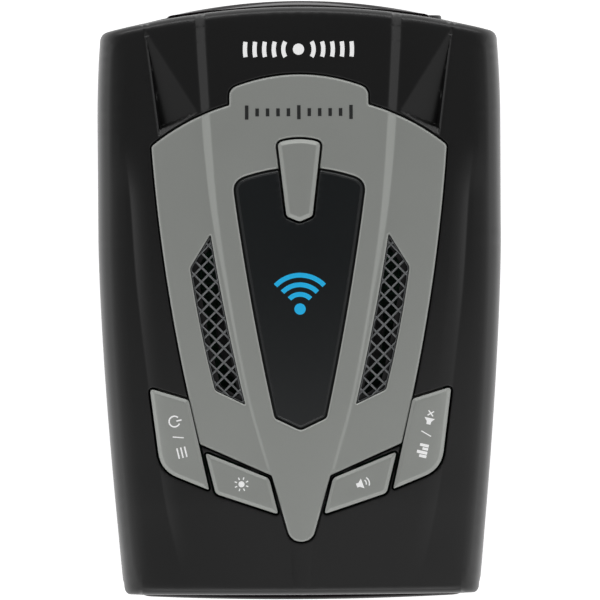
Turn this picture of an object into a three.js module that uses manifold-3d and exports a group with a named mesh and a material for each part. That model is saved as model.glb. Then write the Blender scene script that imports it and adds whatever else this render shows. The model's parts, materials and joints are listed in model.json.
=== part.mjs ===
// Windscreen radar detector, in millimetres: +Z out of the top cover, +Y towards the nose that faces the
// road, -Y towards the display end that faces the driver. The origin is the centre of the underside.
import * as THREE from "three";
import { ConvexGeometry } from "three/addons/geometries/ConvexGeometry.js";
import { LoftGeometry } from "three/addons/geometries/LoftGeometry.js";
import { mergeVertices } from "three/addons/utils/BufferGeometryUtils.js";
import Module from "manifold-3d";

const wasm = await Module();
wasm.setup();

// ---------------------------------------------------------------- driving dimensions
const HALF_WIDTH = 36;
const HALF_LENGTH = 53.6;
const WIDEST_Y = 11; // the sides start to draw in behind here
const SHOULDER_Y = 32; // and in front of here
const PARTING_Z = 14; // joint between the two case halves
const GAP = 0.3; // clearance between touching pieces
const SKIN = 2.6; // thickness of the top cover
const WALL = 2.4; // thickness of the case walls
const FLOOR = 2;
const SPINE_Z = 31.5; // highest line of the cover
const SPINE_Y = 22;
const NOSE_Y = 52.1; // front edge of the top case on the centreline
const LIP_Y = 53.3; // front edge of the bottom case on the centreline
const REAR_Y = -52.6; // rear wall of both cases
const PLATE_PROUD = 0.25;
const PLATE_DEPTH = 1.0; // underside of the trim plate below the cover's surface
const POCKET_DEPTH = PLATE_DEPTH + GAP;
const KEY_PROUD = 0.6;
const BOARD_Z = 14;
const BOARD_THICK = 1.6;
const BOARD_TOP = BOARD_Z + BOARD_THICK;
const SPEAKER_Y = -5;
const LATCH_Z = 21;
const CEILING = 40; // above everything, for cuts

// Pairs are [y, value], with a smooth curve through them. Distances across are from the centreline.
const RIDGE_X = [
  [-56, 1.4], [-42, 2.3], [-30, 5.6], [-18, 8.9], [0, 12.3], [18, 14.7], [43, 16.3], [56, 16.8],
];
const RIDGE_WIDTH = [[-56, 0.3], [-18, 0.4], [0, 0.55], [18, 1.3], [43, 1.7], [56, 1.7]];
const RIDGE_DROP = [
  [-56, 0], [-38, 0], [-36, 0], [-29, 0.32], [-18, 0.35], [0, 0.45], [18, 0.85], [43, 1], [56, 1],
];
const CREASE_X = [[-56, 19], [-43, 22.5], [-32, 24.6], [0, 28.5], [18, 29.8], [28, 30.6], [56, 30.6]];
const CREASE_DROP = [[-56, 0], [-50, 0], [-40, 0.4], [-30, 0.5], [18, 0.5], [28, 0], [56, 0]];
const CREASE_WIDTH = 1;
const CROWN = 0.2; // how far the spine stands above the ridges' inner lines
const ROLL_DROP = 7; // how far the rounded sides fall
const ROLL_REACH = 5.5; // and how far in from the side they start
const ROLL_ROUND = 1 / 1.4; // 1 for a round side, less for a squarer one
const ROLL_STEPS = 5;
const STATION_STEP = 8;
const STATION_END = 56;
const NOSE_BEND = 0.0036; // the front edges fall back by this times x squared
const LIP_BEND = 0.0045;
const CORNER_START_X = 33.9; // where the rounding of a nose corner starts
const CORNER_Y = 47.6;
const CORNER_REACH = 1.6; // and how far down the side it goes
const SHOULDER_BEND = 0.0025;
const WINDOW_BEND = -0.00122;
const SCOOP_APEX = [27.5, 48];
const SCOOP_OUTER = [25.2, 30.1];
const SCOOP_INNER = [17.9, 33.4];
const SCOOP_DEPTH = 1.9;

// Places are [x, y].
const SIDES = [-1, 1];
const CASE_SCREWS = [[-29, 30], [29, 30], [-27, -43], [27, -43]];
const BOARD_SCREWS = [[-23.5, 11], [23.5, 11]];
const HORN_SCREWS = [[-15.5, 38.5], [15.5, 38.5]];
const SCREW_HOLE = 1.5;
const SMALL_HOLE = 1.3;
const JACK_X = 23.5;
const JACK_Z = 7.3;
const JACK_RADIUS = 2.3;
const WINDOW_HALF = 28.3;
const WINDOW_Z = [4.5, 18.5];
const LENS_HALF = 22;
const LENS_FLANGE = 1.4; // how far the lens reaches over the case on each side
const LENS_BEND = 0.0053;
const LENS_LIP = 0.9; // and how far above and below its opening
const LENS_Z = [15.5, 22.9];
const SLOT_HALF = 8;
const SLOT_Z = [24.3, 27.3];
const CHANNEL_HALF = 9.5;
const CHANNEL_Y = [28, 50.5];
const SPRING_TURNS = 3;
const SPRING_RADIUS = 2.3;
const SPRING_WIRE = 0.3;
const SPRING_Z = [17.65, 20.35];
const MESH_PITCH = 1.84; // between the middles of the speaker sheet's square cells
const MESH_HOLE = 1.44;
const MESH_CENTRE = [14.9, -3.2];

// ---------------------------------------------------------------- solids
function solid(geometry) {
  const bare = new THREE.BufferGeometry();
  bare.setAttribute("position", geometry.getAttribute("position"));
  bare.setIndex(geometry.index);
  const merged = mergeVertices(bare, 1e-4);
  return new wasm.Manifold(
    new wasm.Mesh({
      numProp: 3,
      vertProperties: new Float32Array(merged.attributes.position.array),
      triVerts: new Uint32Array(merged.index.array),
    }),
  );
}

function joined(solids) {
  return solids.reduce((whole, next) => whole.add(next));
}

function cut(body, tools) {
  return tools.reduce((left, tool) => left.subtract(tool), body);
}

function box(x0, x1, y0, y1, z0, z1) {
  const block = new THREE.BoxGeometry(x1 - x0, y1 - y0, z1 - z0);
  block.translate((x0 + x1) / 2, (y0 + y1) / 2, (z0 + z1) / 2);
  return solid(block);
}

function post(radius, x, y, z0, z1, sides = 16) {
  const round = new THREE.CylinderGeometry(radius, radius, z1 - z0, sides);
  round.rotateX(Math.PI / 2);
  round.translate(x, y, (z0 + z1) / 2);
  return solid(round);
}

function rodAlongY(radius, x, z, y0, y1, sides = 20) {
  const round = new THREE.CylinderGeometry(radius, radius, y1 - y0, sides);
  round.translate(x, (y0 + y1) / 2, z);
  return solid(round);
}

function prism(points, z0, z1) {
  const block = new THREE.ExtrudeGeometry(new THREE.Shape(points), {
    depth: z1 - z0,
    bevelEnabled: false,
  });
  block.translate(0, 0, z0);
  return solid(block);
}

function turned(profile, x, y, sides = 24) {
  const round = new THREE.LatheGeometry(
    profile.map(([r, z]) => new THREE.Vector2(r, z)),
    sides,
  );
  round.rotateX(Math.PI / 2);
  round.translate(x, y, 0);
  return solid(round);
}

// ---------------------------------------------------------------- outlines
// A closed clockwise outline. Each corner is [x, y, round, bow]: round is how far its rounding reaches
// along both edges, and bow is how far the edge that leaves it bulges outwards.
function outline(corners) {
  const edges = corners.map(([x, y, round, bow], i) => {
    const [nextX, nextY, nextRound] = corners[(i + 1) % corners.length];
    const start = new THREE.Vector2(x, y);
    const end = new THREE.Vector2(nextX, nextY);
    const along = end.clone().sub(start);
    const length = along.length();
    const outwards = new THREE.Vector2(-along.y, along.x).divideScalar(length);
    const control = start.clone().add(end).multiplyScalar(0.5);
    control.addScaledVector(outwards, 2 * bow);
    const curve = new THREE.QuadraticBezierCurve(start, control, end);
    return { curve, from: round / length, to: 1 - nextRound / length, steps: bow === 0 ? 1 : 6, end };
  });
  const points = [];
  edges.forEach((edge, i) => {
    const next = edges[(i + 1) % edges.length];
    for (let step = 0; step <= edge.steps; step += 1) {
      points.push(edge.curve.getPoint(edge.from + ((edge.to - edge.from) * step) / edge.steps));
    }
    const corner = new THREE.QuadraticBezierCurve(
      edge.curve.getPoint(edge.to),
      edge.end,
      next.curve.getPoint(next.from),
    );
    points.push(...corner.getPoints(3).slice(1, -1));
  });
  return points;
}

// The corners of the right half, from front to rear, with their mirror images after them.
function mirroredCorners(half, frontBow) {
  const other = half.map(([x, y, round], i) => [-x, y, round, i > 0 ? half[i - 1][3] : frontBow]);
  return [...half, ...other.reverse()];
}

// The outline moved outwards by a distance, or inwards by a negative one.
function offset(points, distance) {
  return points.map((point, i) => {
    const before = points[(i + points.length - 1) % points.length];
    const after = points[(i + 1) % points.length];
    const one = point.clone().sub(before).normalize();
    const two = after.clone().sub(point).normalize();
    const bisector = new THREE.Vector2(-one.y - two.y, one.x + two.x);
    const square = bisector.lengthSq() / 2;
    return point.clone().addScaledVector(bisector, distance / square);
  });
}

function flipped(points) {
  return points.map((point) => new THREE.Vector2(-point.x, point.y)).reverse();
}

const PLATE = outline(
  mirroredCorners(
    [
      [12.3, 37.5, 1.2, 0],
      [12.3, 34.6, 1.2, 0.8],
      [26.2, 27.4, 0.8, 1.1],
      [17.95, -25.5, 0.8, 0],
      [5.2, -31.2, 1.2, 0],
      [2.1, -42.2, 0.9, 0.8],
    ],
    2.5,
  ),
);
const INSERT = outline(
  mirroredCorners(
    [
      [11.6, 21, 1.8, 0.45],
      [4.4, -21.5, 0.9, 1.2],
    ],
    2.3,
  ),
);
const RELEASE = outline(
  mirroredCorners(
    [
      [3.8, 27.9, 0.6, 0],
      [2.27, 15, 0.6, 1],
    ],
    0.6,
  ),
);
const SPEAKER_SLOT = outline([
  [15.8, 11.8, 1.5, 0.1],
  [19.5, 5.8, 1, 0.3],
  [15.2, -16, 1.2, 0],
  [9.8, -18.6, 1.2, -0.3],
]);
const GRILLE_HOLE = outline([
  [15.7, 9.8, 0.6, 0.1],
  [18.2, 5.6, 0.8, 0.3],
  [14.2, -15.2, 0.8, 0],
  [10.9, -17.2, 0.6, -0.3],
]);
const BIG_KEY = outline([
  [19.9, -17.7, 0.8, 0],
  [26.8, -15.6, 0.8, 0],
  [25, -30.2, 2.6, 0],
  [16.4, -33.7, 0.8, 0],
]);
const SMALL_KEY = outline([
  [5.7, -31.7, 0.8, 0],
  [17, -27.1, 0.8, 0],
  [15.2, -34.4, 0.8, 0],
  [4.1, -38.1, 0.8, 0],
]);

// ---------------------------------------------------------------- the cover's surface
// A smooth curve through [position, value] pairs.
function through(pairs, at) {
  const last = pairs.length - 1;
  const place = Math.min(Math.max(at, pairs[0][0]), pairs[last][0]);
  const i = Math.min(Math.max(pairs.findIndex(([p]) => p > place) - 1, 0), last - 1);
  const index = place >= pairs[last][0] ? last - 1 : i;
  const slope = (k) => {
    const low = pairs[Math.max(k - 1, 0)];
    const high = pairs[Math.min(k + 1, last)];
    return (high[1] - low[1]) / (high[0] - low[0]);
  };
  const [p0, v0] = pairs[index];
  const [p1, v1] = pairs[index + 1];
  const span = p1 - p0;
  const t = (place - p0) / span;
  const rise = 3 * t * t - 2 * t * t * t;
  const startTangent = slope(index) * span * (t - 2 * t * t + t * t * t);
  const endTangent = slope(index + 1) * span * (t * t * t - t * t);
  return v0 + (v1 - v0) * rise + startTangent + endTangent;
}

function halfWidth(y) {
  if (y < WIDEST_Y) return HALF_WIDTH - 0.0082 * (WIDEST_Y - y) ** 1.5;
  if (y > SHOULDER_Y) return HALF_WIDTH - SHOULDER_BEND * (y - SHOULDER_Y) ** 2;
  return HALF_WIDTH;
}

function spine(y) {
  const bend = y < SPINE_Y ? 0.0012 : 0.0015;
  return SPINE_Z - bend * (y - SPINE_Y) ** 2;
}

function fall(distance) {
  return 0.04 * distance + 0.004 * distance * distance;
}

// The right half of the cover's section at y, as [x, z] from the spine to the side wall.
function halfSection(y) {
  const inner = through(RIDGE_X, y);
  const outer = inner + through(RIDGE_WIDTH, y);
  const crease = through(CREASE_X, y);
  const top = spine(y) - CROWN;
  const shelf = top - through(RIDGE_DROP, y);
  const points = [[0, spine(y)], [inner, top], [outer, shelf]];
  for (const part of [1 / 3, 2 / 3, 1]) {
    const distance = (crease - outer) * part;
    points.push([outer + distance, shelf - fall(distance)]);
  }
  const foot = crease + CREASE_WIDTH;
  const rollX = Math.max(foot + 0.2, halfWidth(y) - ROLL_REACH);
  const flat = shelf - through(CREASE_DROP, y) - 0.15;
  points.push([foot, flat - fall(foot - outer)]);
  const rollZ = flat - fall(rollX - outer);
  const drop = Math.min(ROLL_DROP, rollZ - PARTING_Z - 1);
  for (let step = 0; step <= ROLL_STEPS; step += 1) {
    const turn = (Math.PI / 2) * (step / ROLL_STEPS);
    const x = rollX + (halfWidth(y) - rollX) * Math.sin(turn) ** ROLL_ROUND;
    points.push([x, rollZ - drop * (1 - Math.cos(turn) ** ROLL_ROUND)]);
  }
  return points;
}

function topHeight(x, y) {
  const section = halfSection(y);
  const i = section.findIndex(([px]) => px >= Math.abs(x));
  const [x0, z0] = section[i - 1];
  const [x1, z1] = section[i];
  return z0 + ((z1 - z0) * (Math.abs(x) - x0)) / (x1 - x0);
}

// Everything under the cover's surface moved by lift, down to z0, with the sides drawn in by inset.
function underCover(lift, z0, inset = 0) {
  const sections = [];
  for (let y = -STATION_END; y <= STATION_END; y += STATION_STEP) {
    const narrow = 1 - inset / halfWidth(y);
    const right = halfSection(y).map(([x, z]) => new THREE.Vector3(x * narrow, y, z + lift));
    const left = right.slice(1).map((p) => new THREE.Vector3(-p.x, y, p.z));
    const edge = halfWidth(y) * narrow;
    const base = [new THREE.Vector3(edge, y, z0), new THREE.Vector3(-edge, y, z0)];
    sections.push([...left.reverse(), ...right, ...base]);
  }
  return solid(new LoftGeometry(sections, { capStart: true, capEnd: true }));
}

// ---------------------------------------------------------------- case outlines
// The case in plan, drawn in by inset: a bowed front, sides that follow halfWidth and a flat rear, with the
// corners rounded.
function casePlan(frontY, frontBend, inset) {
  const side = (y) => halfWidth(y) - inset;
  const front = (x) => frontY - inset - frontBend * x * x;
  const rearY = REAR_Y + inset;
  const points = [];
  for (let x = -28; x <= 28; x += 7) {
    points.push(new THREE.Vector2(x, front(x)));
  }
  const cornerX = CORNER_START_X - inset;
  const widest = side(CORNER_Y);
  const shoulderY = front(widest) - CORNER_REACH;
  const noseCorner = new THREE.QuadraticBezierCurve(
    new THREE.Vector2(cornerX, front(cornerX)),
    new THREE.Vector2(widest, front(widest)),
    new THREE.Vector2(side(shoulderY), shoulderY),
  );
  const right = noseCorner.getPoints(4);
  for (let y = 36; y > -48; y -= 7) {
    right.push(new THREE.Vector2(side(y), y));
  }
  const rearCorner = new THREE.QuadraticBezierCurve(
    new THREE.Vector2(side(rearY), rearY + 1.8),
    new THREE.Vector2(side(rearY), rearY),
    new THREE.Vector2(side(rearY) - 1.4, rearY),
  );
  right.push(...rearCorner.getPoints(3));
  const left = right.map((p) => new THREE.Vector2(-p.x, p.y)).reverse();
  return [...points, ...right, ...left];
}

// ---------------------------------------------------------------- materials
function paint(colour, roughness, metalness = 0) {
  return new THREE.MeshStandardMaterial({ color: new THREE.Color(...colour), roughness, metalness });
}

const BLACK_PLASTIC = paint([0.03, 0.032, 0.034], 0.38);
const UNDERSIDE_PLASTIC = paint([0.03, 0.03, 0.032], 0.6);
const GREY_PAINT = paint([0.2, 0.21, 0.2], 0.42, 0.3);
const GLOSS_BLACK = paint([0.012, 0.014, 0.015], 0.2);
const SMOKED = paint([0.02, 0.012, 0.014], 0.08);
const STEEL = paint([0.55, 0.56, 0.57], 0.35, 1);
const TINNED = paint([0.62, 0.62, 0.6], 0.4, 1);
const CAST_ZINC = paint([0.45, 0.46, 0.47], 0.5, 1);
const BOARD_GREEN = paint([0.02, 0.16, 0.07], 0.5);
const WHITE_PLASTIC = paint([0.7, 0.7, 0.66], 0.5);
const CLEAR_PLASTIC = paint([0.75, 0.8, 0.82], 0.1);
const GLASS_DARK = paint([0.03, 0.05, 0.05], 0.08);
const FERRITE = paint([0.05, 0.05, 0.055], 0.7);
const PAPER = paint([0.06, 0.055, 0.05], 0.9);
const FOAM = paint([0.05, 0.05, 0.05], 0.95);
const FILM = paint([0.55, 0.32, 0.06], 0.35);
const LABEL = paint([0.6, 0.6, 0.58], 0.6);

const detector = new THREE.Group();

function add(name, body, material) {
  const data = body.getMesh();
  const geometry = new THREE.BufferGeometry();
  geometry.setAttribute("position", new THREE.BufferAttribute(data.vertProperties, 3));
  geometry.setIndex(new THREE.BufferAttribute(data.triVerts, 1));
  geometry.computeVertexNormals();
  const mesh = new THREE.Mesh(geometry, material);
  mesh.name = name;
  detector.add(mesh);
}

// ---------------------------------------------------------------- top case
function scoop(side) {
  const at = ([x, y], lift) => new THREE.Vector3(side * x, y, topHeight(x, y) + lift);
  const above = [at(SCOOP_APEX, 2), at(SCOOP_OUTER, 3), at(SCOOP_INNER, 2)];
  const below = [at(SCOOP_APEX, -0.1), at(SCOOP_OUTER, -SCOOP_DEPTH), at(SCOOP_INNER, -0.1)];
  return solid(new ConvexGeometry([...above, ...below]));
}

function bracketChannel() {
  const [y0, y1] = CHANNEL_Y;
  const floor = box(-CHANNEL_HALF, CHANNEL_HALF, y0, y1, SLOT_Z[0] - 0.8, SLOT_Z[0]);
  const walls = SIDES.map((side) => {
    const wall = box(SLOT_HALF + GAP, CHANNEL_HALF, y0, y1, SLOT_Z[0] - 0.8, 28.8);
    return side > 0 ? wall : wall.mirror([1, 0, 0]);
  });
  const toothWindow = box(-3.2, 3.2, 29.4, 33.6, SLOT_Z[0] - 2, SLOT_Z[0] + 1);
  return joined([floor, ...walls]).subtract(toothWindow);
}

function topCase() {
  const outside = prism(casePlan(NOSE_Y, NOSE_BEND, 0), 0, CEILING);
  const outer = underCover(0, PARTING_Z + GAP / 2).intersect(outside);
  const inside = prism(casePlan(NOSE_Y, NOSE_BEND, WALL), 0, CEILING);
  const hollow = underCover(-SKIN, 0, WALL).intersect(inside);
  const pocket = prism(offset(PLATE, GAP), 20, CEILING).subtract(underCover(-POCKET_DEPTH, 0));
  const keyHoles = [BIG_KEY, SMALL_KEY].flatMap((key) => {
    const hole = offset(key, GAP);
    return [prism(hole, 18, CEILING), prism(flipped(hole), 18, CEILING)];
  });
  const openings = [
    pocket,
    ...keyHoles,
    prism(GRILLE_HOLE, 18, CEILING),
    prism(flipped(GRILLE_HOLE), 18, CEILING),
    prism(offset(RELEASE, GAP), 18, CEILING),
    box(-LENS_HALF - GAP, LENS_HALF + GAP, 40, 60, LENS_Z[0] - GAP, LENS_Z[1] + GAP),
    box(-SLOT_HALF, SLOT_HALF, 48, 60, ...SLOT_Z),
    box(-WINDOW_HALF - GAP, WINDOW_HALF + GAP, -60, -49, WINDOW_Z[0] - GAP, WINDOW_Z[1] + GAP),
    ...SIDES.map(scoop),
  ];
  const bosses = joined(CASE_SCREWS.map(([x, y]) => post(2.8, x, y, PARTING_Z + GAP / 2, 30)));
  const screwHoles = CASE_SCREWS.map(([x, y]) => post(SCREW_HOLE, x, y, 10, 18));
  const shell = cut(outer.subtract(hollow), openings);
  const fittings = bosses.intersect(underCover(-1.4, 0, 1)).add(bracketChannel());
  return cut(shell.add(fittings), screwHoles);
}

// ---------------------------------------------------------------- bottom case
function bottomCase() {
  const rings = [[1.8, 0], [0.6, 0.7], [0, 2.2], [0, PARTING_Z - GAP / 2]];
  const sections = rings.map(([inset, z]) => {
    return casePlan(LIP_Y, LIP_BEND, inset).reverse().map((p) => new THREE.Vector3(p.x, p.y, z));
  });
  const block = solid(new LoftGeometry(sections, { capStart: true, capEnd: true }));
  const hollow = prism(casePlan(LIP_Y, LIP_BEND, WALL), FLOOR, CEILING);
  const top = PARTING_Z - GAP / 2;
  const under = BOARD_Z - GAP;
  const supports = [
    ...CASE_SCREWS.map(([x, y]) => post(3.6, x, y, FLOOR - 0.5, top)),
    ...BOARD_SCREWS.map(([x, y]) => post(2.6, x, y, FLOOR - 0.5, under)),
    ...HORN_SCREWS.map(([x, y]) => post(2.4, x, y, FLOOR - 0.5, 4.7)),
    post(2, -18, -42, FLOOR - 0.5, under),
    post(2, 18, -42, FLOOR - 0.5, under),
    box(-22.5, -18.5, 38, 42, FLOOR - 0.5, 11.7),
    box(JACK_X - 2.5, JACK_X + 2.5, 38, 45, FLOOR - 0.5, 3),
  ];
  const cuts = [
    ...CASE_SCREWS.flatMap(([x, y]) => [post(2.7, x, y, -1, 5.1), post(SCREW_HOLE, x, y, 5, 20)]),
    ...BOARD_SCREWS.map(([x, y]) => post(SMALL_HOLE, x, y, 8.5, 20)),
    ...HORN_SCREWS.map(([x, y]) => post(SMALL_HOLE, x, y, 2.6, 20)),
    box(-WINDOW_HALF - GAP, WINDOW_HALF + GAP, -60, -49, WINDOW_Z[0] - GAP, CEILING),
    rodAlongY(JACK_RADIUS + GAP, JACK_X, JACK_Z, 46, 60),
    box(-16, 16, -12, 12, -1, 0.8),
  ];
  const shell = block.subtract(hollow);
  return cut(shell.add(joined(supports).intersect(block)), cuts);
}

// ---------------------------------------------------------------- trim on the cover
function trimPlate() {
  const sheet = prism(PLATE, 20, CEILING)
    .intersect(underCover(PLATE_PROUD, 0))
    .subtract(underCover(-PLATE_DEPTH, 0));
  return cut(sheet, [
    prism(offset(INSERT, GAP), 18, CEILING),
    prism(offset(RELEASE, GAP), 18, CEILING),
    prism(SPEAKER_SLOT, 18, CEILING),
    prism(flipped(SPEAKER_SLOT), 18, CEILING),
  ]);
}

function centreInsert() {
  return prism(INSERT, 20, CEILING)
    .intersect(underCover(-0.05, 0))
    .subtract(underCover(-PLATE_DEPTH, 0))
    .subtract(prism(offset(RELEASE, GAP), 18, CEILING));
}

// A sheet of square cells standing on their corners.
function speakerMesh(side) {
  const [middleX, middleY] = MESH_CENTRE;
  const edge = offset(SPEAKER_SLOT, -GAP);
  const rim = prism(edge, 18, CEILING).subtract(prism(GRILLE_HOLE, 17, CEILING + 1));
  const holes = [];
  for (let i = -9; i <= 9; i += 1) {
    for (let j = -9; j <= 9; j += 1) {
      const x = middleX + ((i - j) * MESH_PITCH) / Math.SQRT2;
      const y = middleY + ((i + j) * MESH_PITCH) / Math.SQRT2;
      const cell = new THREE.BoxGeometry(MESH_HOLE, MESH_HOLE, CEILING);
      cell.rotateZ(Math.PI / 4);
      cell.translate(x, y, CEILING / 2);
      if (Math.abs(x - middleX) < 7 && Math.abs(y - middleY) < 17) holes.push(solid(cell));
    }
  }
  const lattice = cut(prism(edge, 18, CEILING), holes).add(rim);
  const sheet = lattice.intersect(underCover(-0.4, 0)).subtract(underCover(-PLATE_DEPTH, 0));
  return side > 0 ? sheet : sheet.mirror([1, 0, 0]);
}

// ---------------------------------------------------------------- windows
// A curved plate between two bows in plan: y = a - bend * x * x.
function bowedPlate(half, frontY, frontBend, backY, backBend, z0, z1) {
  const points = [];
  for (let i = 0; i <= 12; i += 1) {
    const x = -half + (2 * half * i) / 12;
    points.push(new THREE.Vector2(x, frontY - frontBend * x * x));
  }
  for (let i = 12; i >= 0; i -= 1) {
    const x = -half + (2 * half * i) / 12;
    points.push(new THREE.Vector2(x, backY - backBend * x * x));
  }
  return prism(points, z0, z1);
}

function frontLens() {
  const back = NOSE_Y + GAP;
  const half = LENS_HALF + LENS_FLANGE;
  const [low, high] = LENS_Z;
  const flange = bowedPlate(half, HALF_LENGTH, LENS_BEND, back, NOSE_BEND, low - LENS_LIP, high + LENS_LIP);
  const plug = bowedPlate(LENS_HALF, back + 0.1, NOSE_BEND, 50, NOSE_BEND, ...LENS_Z);
  return flange.add(plug);
}

function displayWindow() {
  return bowedPlate(WINDOW_HALF, -HALF_LENGTH + 2, WINDOW_BEND, -HALF_LENGTH, WINDOW_BEND, ...WINDOW_Z);
}

// ---------------------------------------------------------------- keys, switches and the bracket release
const KEYS = [
  { name: "power_menu", plan: flipped(BIG_KEY), x: -21.3, y: -24.5 },
  { name: "dim", plan: flipped(SMALL_KEY), x: -10.6, y: -33 },
  { name: "volume", plan: SMALL_KEY, x: 10.6, y: -33 },
  { name: "city_mute", plan: BIG_KEY, x: 21.3, y: -24.5 },
];
const SWITCH_TOP = 19;
const PLUNGER_TOP = 20;

function keyCap({ plan, x, y }) {
  const cap = prism(plan, 10, CEILING).intersect(underCover(KEY_PROUD, 0)).subtract(underCover(-2.2, 0));
  const stem = box(x - 1.8, x + 1.8, y - 1.8, y + 1.8, PLUNGER_TOP + GAP, topHeight(x, y) - 1.5);
  return cap.add(stem);
}

function tactSwitch({ x, y }) {
  const body = box(x - 3, x + 3, y - 3, y + 3, BOARD_TOP + GAP, SWITCH_TOP);
  return body.subtract(post(1.6, x, y, BOARD_TOP + 1.3, CEILING));
}

function releaseButton() {
  const cap = prism(RELEASE, 10, CEILING).intersect(underCover(KEY_PROUD, 0)).subtract(underCover(-2.4, 0));
  return cap.add(box(-1.6, 1.6, 17, 25, LATCH_Z + 1.4 + GAP, 29.5));
}

function bracketLatch() {
  const plate = box(-5.5, 5.5, 16, 34, LATCH_Z, LATCH_Z + 1.4);
  const tooth = box(-2.5, 2.5, 30, 33, LATCH_Z + 1, 25.2);
  return joined([plate, tooth, post(1.5, 0, 21, 19.5, LATCH_Z + 0.5)]);
}

function latchRetainer() {
  const walls = SIDES.map((side) => {
    const wall = box(6.8, 8, 15, 27.4, 16, 27.9);
    return side > 0 ? wall : wall.mirror([1, 0, 0]);
  });
  return joined([box(-8, 8, 15, 27.4, 16, 17), ...walls]);
}

class Helix extends THREE.Curve {
  getPoint(t) {
    const angle = t * SPRING_TURNS * 2 * Math.PI;
    const z = SPRING_Z[0] + (SPRING_Z[1] - SPRING_Z[0]) * t;
    return new THREE.Vector3(SPRING_RADIUS * Math.cos(angle), 21 + SPRING_RADIUS * Math.sin(angle), z);
  }
}
function latchSpring() {
  const wire = new THREE.Shape();
  wire.absarc(0, 0, SPRING_WIRE, 0, 2 * Math.PI);
  const path = { steps: 42, curveSegments: 3, extrudePath: new Helix() };
  return solid(new THREE.ExtrudeGeometry(wire, path));
}

// ---------------------------------------------------------------- electronics
function mainBoard() {
  const right = [[26, 14], [26, -34], [21.5, -38], [21.5, -46]];
  const left = right.map(([x, y]) => [-x, y]).reverse();
  const plan = [...right, ...left].map(([x, y]) => new THREE.Vector2(x, y));
  const board = prism(plan, BOARD_Z, BOARD_TOP);
  return cut(board, BOARD_SCREWS.map(([x, y]) => post(SMALL_HOLE, x, y, 10, 20)));
}

function antennaHorn() {
  const body = box(-13, 13, 29.5, 48.4, 5, 19.4).add(box(-18, 18, 36, 41, 5, 7));
  const flare = [[11.5, 49, 6.4, 18], [4, 33, 10.4, 14]].flatMap(([x, y, z0, z1]) => [
    new THREE.Vector3(-x, y, z0),
    new THREE.Vector3(x, y, z0),
    new THREE.Vector3(-x, y, z1),
    new THREE.Vector3(x, y, z1),
  ]);
  const holes = HORN_SCREWS.map(([x, y]) => post(SMALL_HOLE, x, y, 0, 10));
  return cut(body, [solid(new ConvexGeometry(flare)), ...holes]);
}

function screw(x, y, shaft, head) {
  const [shaftRadius, z0, z1] = shaft;
  const [headRadius, z2, z3] = head;
  const body = post(shaftRadius, x, y, z0, z1, 12).add(post(headRadius, x, y, z2, z3));
  const tall = z1 > z3; // driven in from below
  const face = tall ? z2 : z3;
  const arms = [box(x - 1.1, x + 1.1, y - 0.25, y + 0.25, face - 0.6, face + 0.6)];
  arms.push(box(x - 0.25, x + 0.25, y - 1.1, y + 1.1, face - 0.6, face + 0.6));
  return cut(body, arms);
}

function rfShield() {
  const outer = box(-13, 13, -12, 13, 8.2, BOARD_Z - GAP);
  return outer.subtract(box(-12.5, 12.5, -11.5, 12.5, 8.7, 20));
}

function dcJack() {
  const body = box(JACK_X - 4, JACK_X + 4, 37, 46.7, 3.3, 11.3);
  const collar = rodAlongY(JACK_RADIUS, JACK_X, JACK_Z, 46, 51.2);
  return body.add(collar).subtract(rodAlongY(1.8, JACK_X, JACK_Z, 39, 52));
}

function sensorLens() {
  const dome = new THREE.SphereGeometry(3, 16, 10);
  dome.translate(-20, 43.8, 15.5);
  return solid(dome).intersect(box(-24, -16, 43.8, 50, 10, 20));
}

function displayRibbon() {
  const flat = box(-8, 8, -47.3, -43, 15.9, 16.1);
  return flat.add(box(-8, 8, -47.3, -47.1, 8, 16.1));
}

function displayGasket() {
  return box(-25.4, 25.4, -49.7, -48.2, 3.6, 18.6).subtract(box(-24.3, 24.3, -52, -47, 4.7, 17.9));
}

function speakerFrame() {
  const outside = [[5, 19.3], [7.8, 19.3], [13.8, 23.6], [15, 23.6], [15, 25.3]];
  const inside = [[13, 25.3], [13, 24], [7.4, 20], [5, 20], [5, 19.3]];
  return turned([...outside, ...inside], 0, SPEAKER_Y);
}

function speakerCone() {
  return turned([[0, 20.3], [4, 20.3], [12.5, 24.6], [12.5, 25], [3.8, 20.9], [0, 20.9]], 0, SPEAKER_Y);
}

function speakerGasket() {
  return turned([[12.5, 25.6], [15, 25.6], [15, 26.4], [12.5, 26.4], [12.5, 25.6]], 0, SPEAKER_Y);
}

function powerChoke() {
  const lower = [[0, 15.9], [3.5, 15.9], [3.5, 16.8], [2.6, 16.8]];
  const upper = [[2.6, 19], [3.5, 19], [3.5, 19.9], [0, 19.9]];
  return turned([...lower, ...upper], 18.5, -8, 16);
}

// ---------------------------------------------------------------- assembly
add("top_case", topCase(), BLACK_PLASTIC);
add("bottom_case", bottomCase(), UNDERSIDE_PLASTIC);
add("trim_plate", trimPlate(), GREY_PAINT);
add("centre_insert", centreInsert(), GLOSS_BLACK);
add("speaker_mesh_left", speakerMesh(-1), STEEL);
add("speaker_mesh_right", speakerMesh(1), STEEL);
add("front_lens", frontLens(), SMOKED);
add("display_window", displayWindow(), SMOKED);
for (const key of KEYS) {
  add(`${key.name}_key`, keyCap(key), GREY_PAINT);
  add(`${key.name}_plunger`, post(1.2, key.x, key.y, 18.2, PLUNGER_TOP), WHITE_PLASTIC);
  add(`${key.name}_switch`, tactSwitch(key), STEEL);
}
add("release_button", releaseButton(), GREY_PAINT);
add("bracket_latch", bracketLatch(), WHITE_PLASTIC);
add("latch_retainer", latchRetainer(), BLACK_PLASTIC);
add("latch_spring", latchSpring(), STEEL);
CASE_SCREWS.forEach(([x, y], i) => {
  add(`case_screw_${i + 1}`, screw(x, y, [1.2, 4, 17.5], [2.4, 3.2, 4.8]), STEEL);
});
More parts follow.
